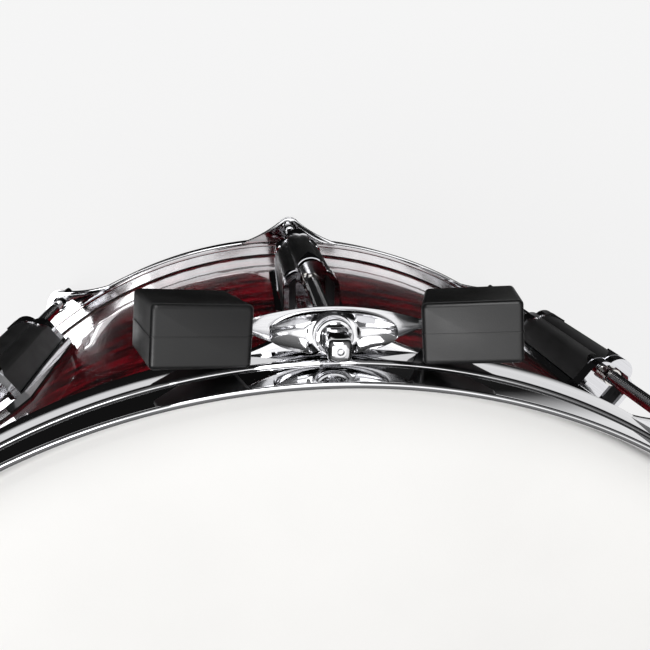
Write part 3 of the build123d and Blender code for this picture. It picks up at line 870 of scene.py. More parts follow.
@dataclass(frozen=True)
class SprayedFilm(Finish):
    """Polyester film with a sprayed white coating: pebbled, matt and a little uneven."""

    cloud_mm: float = 60.0

    def dress(
        self, tree: bpy.types.NodeTree, place: bpy.types.NodeSocket
    ) -> tuple[bpy.types.NodeSocket, bpy.types.NodeSocket, bpy.types.NodeSocket]:
        """Draw the spray's pebbles and its slow unevenness.

        Args:
            tree: The material's node tree.
            place: Object coordinates.

        Returns:
            Colour, roughness and normal.
        """
        pebbles, cloud = (
            add_node(
                tree,
                "ShaderNodeTexNoise",
                values={"Scale": 1 / (size_mm * MM), "Detail": detail},
                links={"Vector": place},
            ).outputs["Fac"]
            for size_mm, detail in ((self.grain_mm, 6.0), (self.cloud_mm, 3.0))
        )
        colour = add_node(tree, "ShaderNodeValToRGB", links={"Fac": cloud}, stops=self.shades())
        gloss = add_node(
            tree,
            "ShaderNodeMapRange",
            values={
                "From Min": NOISE_LOW,
                "From Max": NOISE_HIGH,
                "To Min": self.roughness - self.roughness_spread,
                "To Max": self.roughness + self.roughness_spread,
            },
            links={"Value": pebbles},
        )
        normal = add_node(
            tree,
            "ShaderNodeBump",
            values={"Distance": self.grain_depth_mm * MM, "Strength": 1.0},
            links={"Height": pebbles},
        )
        return colour.outputs["Color"], gloss.outputs["Result"], normal.outputs["Normal"]


class Finishes:
    """Every finish of the drum, built once, by the record's material slot."""

    def __init__(self) -> None:
        """Build the materials."""
        # Plating is one even metal, so its colour hardly drifts
        chrome = {"metallic": 1.0, "colour_spread": 0.05}
        plans: dict[str, Finish] = {
            # Bright plating on pressed steel: mirror, with lines left by the polishing wheel
            "hoop_chrome": PolishedChrome(
                "chromed_pressed_steel", "#dcdcde", 0.035, grain_depth_mm=0.0006, **chrome
            ),
            # Zinc casting under chrome: softer corners and a slower ripple
            "lug_chrome": PolishedChrome(
                "chromed_zinc_casting", "#d8d8db", 0.045, wave_mm=7.0,
                grain_depth_mm=0.0004, **chrome,
            ),
            # Rolled steel rod under thin chrome: bright crests, a slightly softer mirror
            "rod_chrome": PolishedChrome(
                "chromed_rolled_steel", "#d6d6d8", 0.07, wave_mm=4.0,
                grain_depth_mm=0.0006, **chrome,
            ),
            # Small dished casting: the plating's ripple breaks its reflections up
            "rest_chrome": PolishedChrome(
                "chromed_saddle_casting", "#dadadc", 0.05, wave_mm=5.0, wave_depth_mm=0.03, **chrome
            ),
            # Bent strip, plated without much polishing: a blurred mirror
            "strap_steel": PolishedChrome(
                "plated_strip_steel", "#c9c9cb", 0.13, wave_mm=8.0, grain_depth_mm=0.001, **chrome
            ),
            # Stained figured maple under polished lacquer: deep red with dark curls, mirror gloss
            "shell": FiguredLacquer(
                "red_lacquered_figured_maple", "#c4142c", 0.22, coat=1.0, coat_roughness=0.02,
                grain_depth_mm=0.05,
            ),
            # Polyester film with a sprayed coating: chalky white with a fine pebble
            "head_film": SprayedFilm(
                "white_sprayed_polyester_film", "#f1f0ee", 0.5, ior=1.6, grain_mm=0.5,
                grain_depth_mm=0.02, colour_spread=0.02, roughness_spread=0.06,
            ),
            # Extruded aluminium, polished: bright, a touch softer than chrome
            "flesh_metal": Finish(
                "polished_aluminium", "#e6e6e8", 0.12, metallic=1.0, grain_mm=0.3,
                grain_depth_mm=0.004,
            ),
            # Moulded nylon with a fine spark texture: satin, with wide soft highlights
            "insert_black": Finish(
                "satin_black_moulded_nylon", "#0d0d0f", 0.36, ior=1.53, grain_mm=0.18,
                grain_depth_mm=0.012, roughness_spread=0.05,
            ),
            # Thin foam rubber under the lugs: dull black that takes no highlight
            "gasket_black": Finish(
                "black_foam_gasket", "#0b0b0b", 0.8, ior=1.5, grain_mm=0.5, grain_depth_mm=0.05
            ),
            # Turned acetal: smooth black with a soft highlight
            "bush_black": Finish(
                "black_acetal_bush", "#101011", 0.35, ior=1.48, grain_mm=0.3, grain_depth_mm=0.006
            ),
            # Stamped steel under chrome: a mirror dulled by the press
            "washer_steel": PolishedChrome(
                "chromed_stamped_washer", "#d0d0d2", 0.09, wave_mm=3.0,
                grain_depth_mm=0.0008, **chrome,
            ),
            # Zinc plating: grey, half bright, a little cloudy
            "screw_steel": Finish(
                "zinc_plated_screw_steel", "#b4b7ba", 0.3, metallic=1.0, grain_mm=0.3,
                grain_depth_mm=0.004,
            ),
            # Turned brass under chrome: bright, faintly warm, with turning lines
            "nut_metal": PolishedChrome(
                "chromed_turned_brass", "#dad8d4", 0.06, wave_mm=2.5, grain_depth_mm=0.001, **chrome
            ),
            # Moulded rubber: nearly black, wide dull highlights, faint bloom on the skin
            "block_rubber": Finish(
                "black_moulded_rubber", "#0d0d0e", 0.36, ior=1.52, grain_mm=0.35,
                grain_depth_mm=0.02, colour_spread=0.25, roughness_spread=0.07,
            ),
        }
        self.made = {slot: plan.build() for slot, plan in plans.items()}

    def dress(self, thing: bpy.types.Object, slot: str) -> None:
        """Give a piece or a CAD node the finish of one slot.

        Args:
            thing: The piece or the CAD node.
            slot: The record's material slot.
        """
        thing.data.materials.clear()
        thing.data.materials.append(self.made[slot])
        LOG.info("dressed %s as %s", thing.name, self.made[slot].name)


# ------------------------------------------------------------------ sub-assemblies


@dataclass
class SubAssembly:
    """A part of the drum that owns some CAD nodes, dresses them and builds what stands for them."""

    finishes: Finishes

    def carried(self) -> dict[str, str]:
        """The CAD nodes that are shown as they are, with their slots."""
        return {}

    def build(self) -> None:
        """Dress the CAD nodes that are carried over."""
        for node, slot in self.carried().items():
            self.finishes.dress(frame["nodes"][node], slot)

    def add(
        self,
        name: str,
        mesh: bpy.types.Mesh,
        slot: str,
        replaces: Sequence[str] = (),
        body: str = ROOT_BODY,
    ) -> bpy.types.Object:
        """Put a finished piece on its body.

        Args:
            name: The piece's name.
            mesh: Its mesh, in place.
            slot: The record's slot for its finish.
            replaces: The CAD nodes that it stands for.
            body: The body that it rides on.

        Returns:
            The piece.
        """
        piece = new_object(name, mesh)
        self.finishes.dress(piece, slot)
        if replaces:
            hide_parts(*replaces)
        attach(piece, body)
        LOG.info("built %s: %d faces on %s", name, len(mesh.polygons), body)
        return piece


@dataclass
class DrumShell(SubAssembly):
    """The wooden shell with its vent."""

    def carried(self) -> dict[str, str]:
        """The shell and the vent's two pieces."""
        return {"shell": "shell", "vent_grommet": "lug_chrome", "vent_washer": "washer_steel"}


@dataclass
class Heads(SubAssembly):
    """Both heads, the hoops that grip their film, and the collar formed over the shell's edge."""

    bend_centre: float = 176.3
    bend_radius: float = 2.35
    proud: float = 0.15
    sunk: float = 0.1
    collar_depth: float = 6.0
    flat_width: float = 3.0
    flat_sink: float = 0.05
    segments: int = 720
    bend_steps: int = 12

    def carried(self) -> dict[str, str]:
        """Name the films and their flesh hoops.

        Returns:
            The slot of each CAD node that is shown as it is.
        """
        return {f"{end.value}_head_film": "head_film" for end in End} | {
            f"{end.value}_flesh_hoop": "flesh_metal" for end in End
        }

    def collar(self, top: float) -> bpy.types.Mesh:
        """The film's formed collar, as a thin skin over its bend.

        Args:
            top: The height of the film's flat face, in millimetres.

        Returns:
            The ring, facing up.
        """
        foot = top - self.bend_radius
        outer = arc(
            (self.bend_centre, foot),
            self.bend_radius + self.proud,
            math.pi / 2,
            0.0,
            self.bend_steps,
        )
        inner = arc(
            (self.bend_centre, foot),
            self.bend_radius - self.sunk,
            0.0,
            math.pi / 2,
            self.bend_steps,
        )
        start = (self.bend_centre - self.flat_width, top - self.flat_sink)
        end = [(outer[-1][0], top - self.collar_depth), (inner[0][0], top - self.collar_depth)]
        return revolved("collar", [start, *outer, *end, *inner], self.segments)

    def build(self) -> None:
        """Dress the heads and add their collars."""
        super().build()
        for end in End:
            low, high = (corner.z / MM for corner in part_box(f"{end.value}_head_film"))
            mesh = self.collar(0.0)
            if end is End.RESONANT:
                mesh.transform(Matrix.Rotation(math.pi, 4, "X"))
            face = high if end is End.BATTER else low
            mesh.transform(Matrix.Translation((0, 0, face * MM)))
            self.add(f"{end.value}_head_collar", mesh, "head_film")


@dataclass
class Counterhoops(SubAssembly):
    """The two flanged steel hoops: a rounded lip, a step and a flared skirt, with ten ears."""

    lip_inner: float = 181.0
    wall: float = 2.0
    skirt_inner: float = 182.8
    skirt_outer: float = 184.0
    flare: float = 1.8
    shoulder: float = 15.0
    height: float = 22.5
    lip_round: float = 0.7
    lip_slope: float = 0.6
    step_round: float = 1.5
    step_root_round: float = 0.5
    foot_rounds: tuple[float, float] = (0.6, 0.3)
    seat_rounds: tuple[float, float] = (0.8, 0.4)
    ear_thickness: float = 3.2
    ear_round: float = 0.8
    ear_root_depth: float = 0.3
    boss_rise: float = 0.8
    boss_foot: tuple[float, float] = (0.9, 0.3)
    boss_round: float = 0.15
    boss_chamfer: float = 0.2
    boss_radius: float = 5.0
    tip_radius: float = 5.6
    tip_half_angle: float = math.radians(40)
    half_spread: float = 33.0
    hole_radius: float = 3.3
    hole_room: tuple[float, float] = (2.0, 4.0)
    segments: int = 540
    flank_steps: int = 16
    tip_steps: int = 20

    def section(self) -> list[tuple[float, float]]:
        """Draw the hoop's section.

        Returns:
            Radius and height above the lip's plane, round the section.
        """
        step = self.shoulder - self.wall
        corners = [
            (self.lip_inner, -self.lip_slope),
            (self.lip_inner + self.wall, 0.0),
            (self.lip_inner + self.wall, -step),
            (self.skirt_outer, -step),
            (self.skirt_outer + self.flare, -self.height),
            (self.skirt_inner, -self.height),
            (self.skirt_inner, -self.shoulder),
            (self.lip_inner, -self.shoulder),
        ]
        top = (self.lip_round, self.lip_round, self.step_root_round, self.step_round)
        return rounded(corners, top + self.foot_rounds + self.seat_rounds)

    def ear_outline(self, rod_circle: float) -> list[tuple[float, float]]:
        """Draw the plan of an ear that points along +X.

        Args:
            rod_circle: The radius of the circle that the rods stand on.

        Returns:
            The outline: one hollow flank, the tip, the other flank and the hoop's wall.
        """
        root_radius = self.skirt_outer + self.ear_root_depth
        root = math.sqrt(root_radius**2 - self.half_spread**2)
        start = Vector((root, self.half_spread))
        along = Vector((self.half_spread, -root)).normalized()
        stop = Vector((rod_circle, 0)) + self.tip_radius * Vector(
            (math.cos(self.tip_half_angle), math.sin(self.tip_half_angle))
        )
        normal = Vector((-along.y, along.x))
        chord = stop - start
        radius = chord.length_squared / (2 * normal.dot(chord))
        centre = start + normal * radius
        first, last = start - centre, stop - centre
        sweep = -first.angle_signed(last)
        flank = arc(
            tuple(centre),
            abs(radius),
            math.atan2(first.y, first.x),
            math.atan2(first.y, first.x) + sweep,
            self.flank_steps,
        )
        tip = arc(
            (rod_circle, 0),
            self.tip_radius,
            self.tip_half_angle,
            -self.tip_half_angle,
            self.tip_steps,
        )
        other = [(x, -y) for x, y in reversed(flank)]
        half_turn = math.asin(self.half_spread / root_radius)
        wall = arc((0, 0), root_radius, -half_turn, half_turn, self.flank_steps)
        return flank[:-1] + tip + other[1:] + wall[1:-1]

    def ear(self, rod_circle: float) -> bpy.types.Mesh:
        """Make one ear, with its boss and its hole, as far below the lip's plane as it sits.

        Args:
            rod_circle: The radius of the circle that the rods stand on.

        Returns:
            The ear, pointing along +X.
        """
        outline = self.ear_outline(rod_circle)
        top = self.ear_thickness - self.height
        flat = softened(slab("ear", outline, -self.height, top), self.ear_round)
        wide, narrow = self.boss_foot
        rings = [
            circle((rod_circle, 0), radius, height)
            for radius, height in (
                (self.boss_radius + wide, top - narrow),
                (self.boss_radius + narrow, top + self.boss_round),
                (self.boss_radius, top + self.boss_rise - self.boss_round),
                (self.boss_radius - self.boss_chamfer, top + self.boss_rise),
            )
        ]
        below, above = self.hole_room
        ends = (-self.height - below, top + above)
        bore = [circle((rod_circle, 0), self.hole_radius, height) for height in ends]
        whole = new_object("ear", joined("ear", [flat, loft("boss", rings)]))
        drill = new_object("drill", loft("drill", bore))
        cut = whole.modifiers.new("hole", "BOOLEAN")
        cut.object = drill
        cut.use_self = True
        ready = whole.evaluated_get(bpy.context.evaluated_depsgraph_get())
        mesh = bpy.data.meshes.new_from_object(ready)
        bpy.data.objects.remove(whole)
        bpy.data.objects.remove(drill)
        smooth(mesh)
        return mesh

    def build(self) -> None:
        """Build both hoops from one, turned over for the lower end."""
        ring = revolved("hoop_ring", self.section(), self.segments)
        tree = ring_tree()
        for end in End:
            low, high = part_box(f"{end.value}_hoop")
            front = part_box(f"{end.value}_rod_01")
            rod_circle = -(front[0].y + front[1].y) / 2 / MM
            ears = tree.run(
                "ears",
                self.ear(rod_circle),
                self.finishes.made["hoop_chrome"],
                Start_Angle=FRONT_ANGLE,
                Count=LUG_COUNT,
            )
            mesh = joined(f"{end.value}_counterhoop", [ring, ears])
            if end is End.RESONANT:
                mesh.transform(Matrix.Rotation(math.pi, 4, "X"))
            lip = high.z if end is End.BATTER else low.z
            mesh.transform(Matrix.Translation((0, 0, lip)))
            self.add(f"{end.value}_counterhoop", mesh, "hoop_chrome", [f"{end.value}_hoop"])


@dataclass
class Lugs(SubAssembly):
    """The ten lugs: chromed casings with pointed crowns over black fluted inserts."""

    lobe_radius: float = 4.8
    lobe_outside_rod: float = 2.8
    side_inside: float = 4.2
    side_offset: float = 4.2
    cap_length: float = 5.0
    proud: float = 0.55
    peak: float = 10.0
    peak_power: float = 1.7
    side_peak: float = 4.0
    side_power: float = 1.3
    edge: float = 0.6
    edge_round: float = 0.25
    lap: float = 0.4
    inside: float = 0.3
    lobe_steps: int = 18

    def carried(self) -> dict[str, str]:
        """Name what is shown of the lugs.

        Returns:
            The slot of each CAD node that is shown as it is.
        """
        return {
            "lug_gaskets": "gasket_black",
            "lug_casings": "lug_chrome",
            "lug_inserts": "insert_black",
            "lug_screws": "screw_steel",
            "lug_screw_washers": "washer_steel",
            "batter_swivel_nuts": "nut_metal",
            "resonant_swivel_nuts": "nut_metal",
        }

    def crown_path(self, rod_circle: float, grow: float) -> list[tuple[float, float, float]]:
        """Follow the insert's three lobes.

        Args:
            rod_circle: The radius of the circle that the rods stand on.
            grow: How far outside the insert the path runs.

        Returns:
            Place across and along the drum's radius, and how far the crown reaches there.
        """
        radius = self.lobe_radius + grow
        top = (rod_circle + self.lobe_outside_rod, 0.0)
        side = (top[0] - self.side_inside, self.side_offset)
        apart = math.dist(top, side)
        between = math.atan2(side[1] - top[1], side[0] - top[0])
        half = math.acos(apart / 2 / radius)
        top_end = between - half
        side_start = between + math.pi + half
        side_stop = math.pi / 2
        upper = arc(top, radius, 0.0, top_end, self.lobe_steps)
        path = []
        for k, (x, y) in enumerate(upper):
            share = 1 - k / self.lobe_steps
            path.append((x, y, self.edge + self.peak * share**self.peak_power))
        lower = arc(side, radius, side_start - FULL_TURN, side_stop, self.lobe_steps)
        for k, (x, y) in enumerate(lower[1:], 1):
            share = math.sin(math.pi * k / self.lobe_steps) ** self.side_power
            path.append((x, y, self.edge + self.side_peak * share))
        return [(x, -y, reach) for x, y, reach in reversed(path)] + path[1:]

    def crown(self, rod_circle: float, low: float, high: float) -> bpy.types.Mesh:
        """Make the crowns at both ends of one lug that points along +X.

        Args:
            rod_circle: The radius of the circle that the rods stand on.
            low: The height of the lug's lower end.
            high: The height of its upper end.

        Returns:
            Both crowns.
        """
        outer = self.crown_path(rod_circle, self.proud)
        inner = self.crown_path(rod_circle, -self.inside)
        reach_in = self.cap_length - self.lap
        made = []
        for foot, way in ((high - reach_in, -1), (low + reach_in, 1)):
            rings = []
            for (x, y, reach), (u, v, _) in zip(outer, inner):
                tip = foot + way * reach
                soft = tip - way * self.edge_round
                middle = ((x + u) / 2, (y + v) / 2, tip)
                rings.append([(x, y, foot), (x, y, soft), middle, (u, v, tip), (u, v, foot)])
            made.append(loft("crown", rings))
        return joined("crown", made)

    def build(self) -> None:
        """Dress the lugs and add the crowns."""
        super().build()
        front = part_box("batter_rod_01")
        rod_circle = -(front[0].y + front[1].y) / 2 / MM
        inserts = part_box("lug_inserts")
        low, high = inserts[0].z / MM - self.cap_length, inserts[1].z / MM + self.cap_length
        crowns = ring_tree().run(
            "lug_crowns",
            self.crown(rod_circle, low, high),
            self.finishes.made["lug_chrome"],
            Start_Angle=FRONT_ANGLE,
            Count=LUG_COUNT,
        )
        self.add("lug_crowns", crowns, "lug_chrome")


@dataclass
class TensionRods(SubAssembly):
    """The twenty rods: a rolled thread, a plain shank, a round flange and a square key head."""

    core_radius: float = 2.1
    ridge: float = 0.4
    pitch: float = 1.06
    thread_length: float = 62.75
    shank_radius: float = 2.15
    flange_radius: float = 4.9
    flange_height: float = 2.4
    key_half_width: float = 3.0
    key_height: float = 10.4
    point_radius: float = 1.3
    point_length: float = 0.7
    runout: float = 0.4
    under_thread: float = 0.02
    ring_steps: int = 48
    around: int = 24
    rows_per_turn: int = 5

    def carried(self) -> dict[str, str]:
        """Name the washers and the bushes.

        Returns:
            The slot of each CAD node that is shown as it is.
        """
        return {f"{end.value}_rod_bushes": "bush_black" for end in End} | {
            f"{end.value}_rod_washers": "washer_steel" for end in End
        }

    @staticmethod
    def ring(
        half_width: float, squareness: float, height: float, steps: int
    ) -> list[tuple[float, float, float]]:
        """Make a ring between a circle, at squareness 2, and a square with round corners.

        Args:
            half_width: How far the ring reaches along X and along Y.
            squareness: The power of its superellipse.
            height: Its height.
            steps: How many points it has.

        Returns:
            Its points.
        """
        points = []
        for k in range(steps):
            turn = FULL_TURN * k / steps
            c, s = abs(math.cos(turn)), abs(math.sin(turn))
            reach = half_width / (c**squareness + s**squareness) ** (1 / squareness)
            points.append((reach * math.cos(turn), reach * math.sin(turn), height))
        return points

    def blank(self, length: float) -> bpy.types.Mesh:
        """Make the rod before its thread is rolled, standing on the origin.

        The plan's steps are half width, squareness and height, from the point to the key head.

        Args:
            length: The whole rod's length.

        Returns:
            The blank.
        """
        foot = length - self.flange_height - self.key_height
        rim, key, top = self.flange_radius, self.key_half_width, foot + self.flange_height
        core = self.core_radius - self.under_thread
        plan = [
            (self.point_radius, 2.0, 0.0),
            (core, 2.0, self.point_length),
            (core, 2.0, self.thread_length - self.runout),
            (self.shank_radius, 2.0, self.thread_length),
            (self.shank_radius, 2.0, foot),
            (rim - 0.5, 2.0, foot),
            (rim, 2.0, foot + 0.35),
            (rim, 2.0, foot + 1.0),
            (rim - 0.25, 2.0, foot + 1.35),
            (rim - 0.9, 2.0, foot + 1.5),
            (rim - 1.25, 2.3, top - 0.6),
            (key + 0.15, 3.5, top - 0.1),
            (key, 5.5, top + 0.5),
            (key - 0.02, 6.0, top + 3.0),
            (key - 0.06, 6.0, top + self.key_height - 1.5),
            (key - 0.3, 4.5, top + self.key_height - 0.75),
            (key - 0.8, 3.2, top + self.key_height - 0.25),
            (key - 1.3, 2.4, top + self.key_height),
            (0.9, 2.0, top + self.key_height - 0.05),
            (0.6, 2.0, top + self.key_height - 0.35),
        ]
        return loft("rod_blank", [self.ring(*step, self.ring_steps) for step in plan])

    def build(self) -> None:
        """Build each rod on its own body."""
        super().build()
        rows = round(self.thread_length / self.pitch * self.rows_per_turn)
        tree = thread_tree(self.around, rows)
        for end in End:
            for index in range(LUG_COUNT):
                node = f"{end.value}_rod_{index + 1:02d}"
                low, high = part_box(node)
                length = (high.z - low.z) / MM
                mesh = tree.run(
                    node,
                    self.blank(length),
                    self.finishes.made["rod_chrome"],
                    Core_Radius=self.core_radius * MM,
                    Ridge_Height=self.ridge * MM,
                    Pitch=self.pitch * MM,
                    Length=self.thread_length * MM,
                )
                middle = (low + high) / 2
                facing = Matrix.Rotation(FRONT_ANGLE + index * FULL_TURN / LUG_COUNT, 4, "Z")
                if end is End.RESONANT:
                    facing = facing @ Matrix.Rotation(math.pi, 4, "X")
                foot = low.z if end is End.BATTER else high.z
                mesh.transform(Matrix.Translation((middle.x, middle.y, foot)) @ facing)
                self.add(f"{node}_threaded", mesh, "rod_chrome", [node], node)


@dataclass
class TwoBlockRest(SubAssembly):
    """The bent strap, the dished saddle and the two rubber blocks."""

    strap_reach: float = 23.0
    strap_neck: float = 3.0
    strap_inside: float = 5.0
    strap_outside: float = 6.6
    strap_crown: float = 0.7
    strap_round: float = 0.4
    strap_steps: int = 40
    crown_steps: tuple[int, int] = (48, 16)
    crown_lift: float = 0.2
    tang: float = 12.0
    hole_radius: float = 3.3
    saddle_half_length: float = 16.5
    saddle_inside: float = 4.6
    saddle_outside: float = 6.2
    saddle_base: float = 2.0
    saddle_end: float = 1.3
    saddle_taper: tuple[float, float] = (2.6, 0.75)
    saddle_round: float = 0.4
    saddle_steps: tuple[int, int] = (96, 28)
    wing_rise: float = 2.4
    wing_ramp: float = 1.6
    bowl_depth: float = 1.3
    bowl_powers: tuple[float, float] = (0.8, 0.7)
    seat_radius: float = 5.8
    block_size: tuple[float, float, float] = (24.4, 15.7, 27.0)
    block_offset: float = 32.3
    block_outside_rod: float = 4.0
    block_below_lip: float = 1.0
    toe_in: float = math.radians(16)
    tilt: float = math.radians(6)
    pitch: float = math.radians(7)
    block_round: float = 1.3
    block_steps: int = 5
    corner_steps: int = 6
    corner_least: float = 0.3
    corner_share: float = 0.6
    parting: float = 0.14

    def strap(self, rod_circle: float, low: float, high: float) -> bpy.types.Mesh:
        """Make the strap, with its edges rolled.

        Args:
            rod_circle: The radius of the circle that the rods stand on.
            low: The height of the strap's underside.
            high: The height of its top.

        Returns:
            The strap.
        """
        reach, end = self.strap_reach, self.strap_reach + self.tang
        near, far = -rod_circle, -rod_circle - self.strap_neck
        inner = ((-reach, near), (0, self.strap_inside - rod_circle), (reach, near))
        outer = ((-reach, far), (0, -rod_circle - self.strap_outside), (reach, far))
        outline = [
            *through(*inner, self.strap_steps),
            (end, near),
            (end, far),
            *through(*reversed(outer), self.strap_steps),
            (-end, far),
            (-end, near),
        ]
        flat = slab("rest_strap", outline, low, high - self.strap_crown)
        along = self.crown_steps[0]
        inner_edge, outer_edge = through(*inner, along), through(*outer, along)

        def top(u: float, v: float) -> tuple[float, float, float]:
            """Place a point on the crowned upper surface.

            Args:
                u: The share of the way along the rest.
                v: The share of the way across it.

            Returns:
                The point there.
            """
            step = round(u * along)
            (a, b), (c, d) = inner_edge[step], outer_edge[step]
            crown = self.strap_crown * (1 - (2 * v - 1) ** 2)
            return a + (c - a) * v, b + (d - b) * v, high - self.strap_crown + crown

        def bottom(u: float, v: float) -> tuple[float, float, float]:
            """The flat lower surface."""
            x, y, _ = top(u, v)
            return x, y, low + self.crown_lift

        rolled = plate("strap_crown", top, bottom, self.crown_steps)
        return joined("rest_strap", [softened(flat, self.strap_round), rolled])

    def saddle(self, rod_circle: float, low: float) -> bpy.types.Mesh:
        """Make the saddle: two dished wings beside a flat round seat.

        Args:
            rod_circle: The radius of the circle that the rods stand on.
            low: The height of the saddle's underside.

        Returns:
            The saddle.
        """
        half, base = self.saddle_half_length, low + self.saddle_base

        def edges(u: float) -> tuple[float, float, float]:
            """Find a place along the saddle, and its outer and inner edge there.

            Args:
                u: The share of the way along the rest.

            Returns:
                X, then Y of the outer and of the inner edge.
            """
            x = (2 * u - 1) * half
            fullness, fall = self.saddle_taper
            taper = (1 - abs(2 * u - 1) ** fullness) ** fall
            middle = -rod_circle - (self.saddle_outside - self.saddle_inside) / 2
            width = (self.saddle_outside + self.saddle_inside) / 2
            reach = self.saddle_end + (width - self.saddle_end) * taper
            return x, middle - reach, middle + reach

        def top(u: float, v: float) -> tuple[float, float, float]:
            """Place a point on the dished upper surface.

            Args:
                u: The share of the way along the rest.
                v: The share of the way across it.

            Returns:
                The point there.
            """
            x, outer, inner = edges(u)
            y = outer + (inner - outer) * v
            gone = math.hypot(x, y + rod_circle)
            rise = min(1.0, max(0.0, (gone - self.seat_radius) / self.wing_ramp))
            rise = rise * rise * (3 - 2 * rise)
            across, along = self.bowl_powers
            bowl = math.sin(math.pi * v) ** across
            bowl *= math.sin(math.pi * min(1.0, abs(x) / half)) ** along
            height = self.wing_rise * rise * (1 - self.bowl_depth * bowl)
            return x, y, base + height

        def bottom(u: float, v: float) -> tuple[float, float, float]:
            """The lower surface."""
            x, outer, inner = edges(u)
            return x, outer + (inner - outer) * v, low

        dished = plate("rest_saddle", top, bottom, self.saddle_steps)
        return softened(dished, self.saddle_round)

    def block(self, sign: int, rod_circle: float, lip: float) -> bpy.types.Mesh:
        """Make one rubber block, with the mould's parting line round it.

        Args:
            sign: The side of the rod it stands on, -1 or +1 along X.
            rod_circle: The radius of the circle that the rods stand on.
            lip: The height of the counterhoop's lip.

        Returns:
            The block.
        """
        wide, tall, deep = self.block_size
        rings = []
        for k in range(self.block_steps + 1):
            turn = math.pi / 2 * k / self.block_steps
            inset = self.block_round * (1 - math.sin(turn))
            rings.append((inset, -self.block_round * (1 - math.cos(turn))))
        stack = rings + [(inset, -deep - z) for inset, z in reversed(rings)]

        def outline(inset: float) -> list[tuple[float, float]]:
            """Draw the block's plan, drawn in by a distance.

            Args:
                inset: How far it is drawn in.

            Returns:
                The plan's points.
            """
            a, b = wide / 2 - inset, tall / 2 - inset
            corner = max(self.corner_least, self.block_round - inset * self.corner_share)
            corners = [(a, b), (-a, b), (-a, -b), (a, -b)]
            return rounded(corners, [corner] * len(corners), self.corner_steps)

        body = loft("block", [[(x, y, z) for x, y in outline(inset)] for inset, z in stack])
        a, out = wide / 2, self.parting
        side, foot = a + out, -deep - out
        corners = [(side, out), (-side, out), (-side, foot), (side, foot)]
        loop = rounded(corners, [self.block_round] * len(corners), self.corner_steps)
        seam = loft("seam", [[(x, y, z) for x, z in loop] for y in (-out, out)])
        mesh = joined("block", [body, seam])
        turn = (
            Matrix.Rotation(-sign * self.tilt, 4, "Z")
            @ Matrix.Rotation(-sign * self.toe_in, 4, "Y")
            @ Matrix.Rotation(self.pitch, 4, "X")
        )
        away = -rod_circle - self.block_outside_rod
        place = Vector((sign * self.block_offset, away, lip - self.block_below_lip))
        mesh.transform(Matrix.Translation(place * MM) @ turn)
        return mesh

    def build(self) -> None:
        """Build the rest's four pieces."""
        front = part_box("batter_rod_01")
        rod_circle = -(front[0].y + front[1].y) / 2 / MM
        low, high = (corner.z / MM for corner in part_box("rest_strap"))
        strap = self.strap(rod_circle, low, high)
        self.add("rest_strap_rolled", strap, "strap_steel", ["rest_strap"])
        saddle_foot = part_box("rest_saddle")[0].z / MM
        saddle = self.saddle(rod_circle, saddle_foot)
        self.add("rest_saddle_dished", saddle, "rest_chrome", ["rest_saddle"])
        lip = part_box("batter_hoop")[1].z / MM
        for side, sign in (("left", -1), ("right", 1)):
            block = self.block(sign, rod_circle, lip)
            self.add(f"rest_block_{side}_moulded", block, "block_rubber", [f"rest_block_{side}"])


# ------------------------------------------------------------------ studio


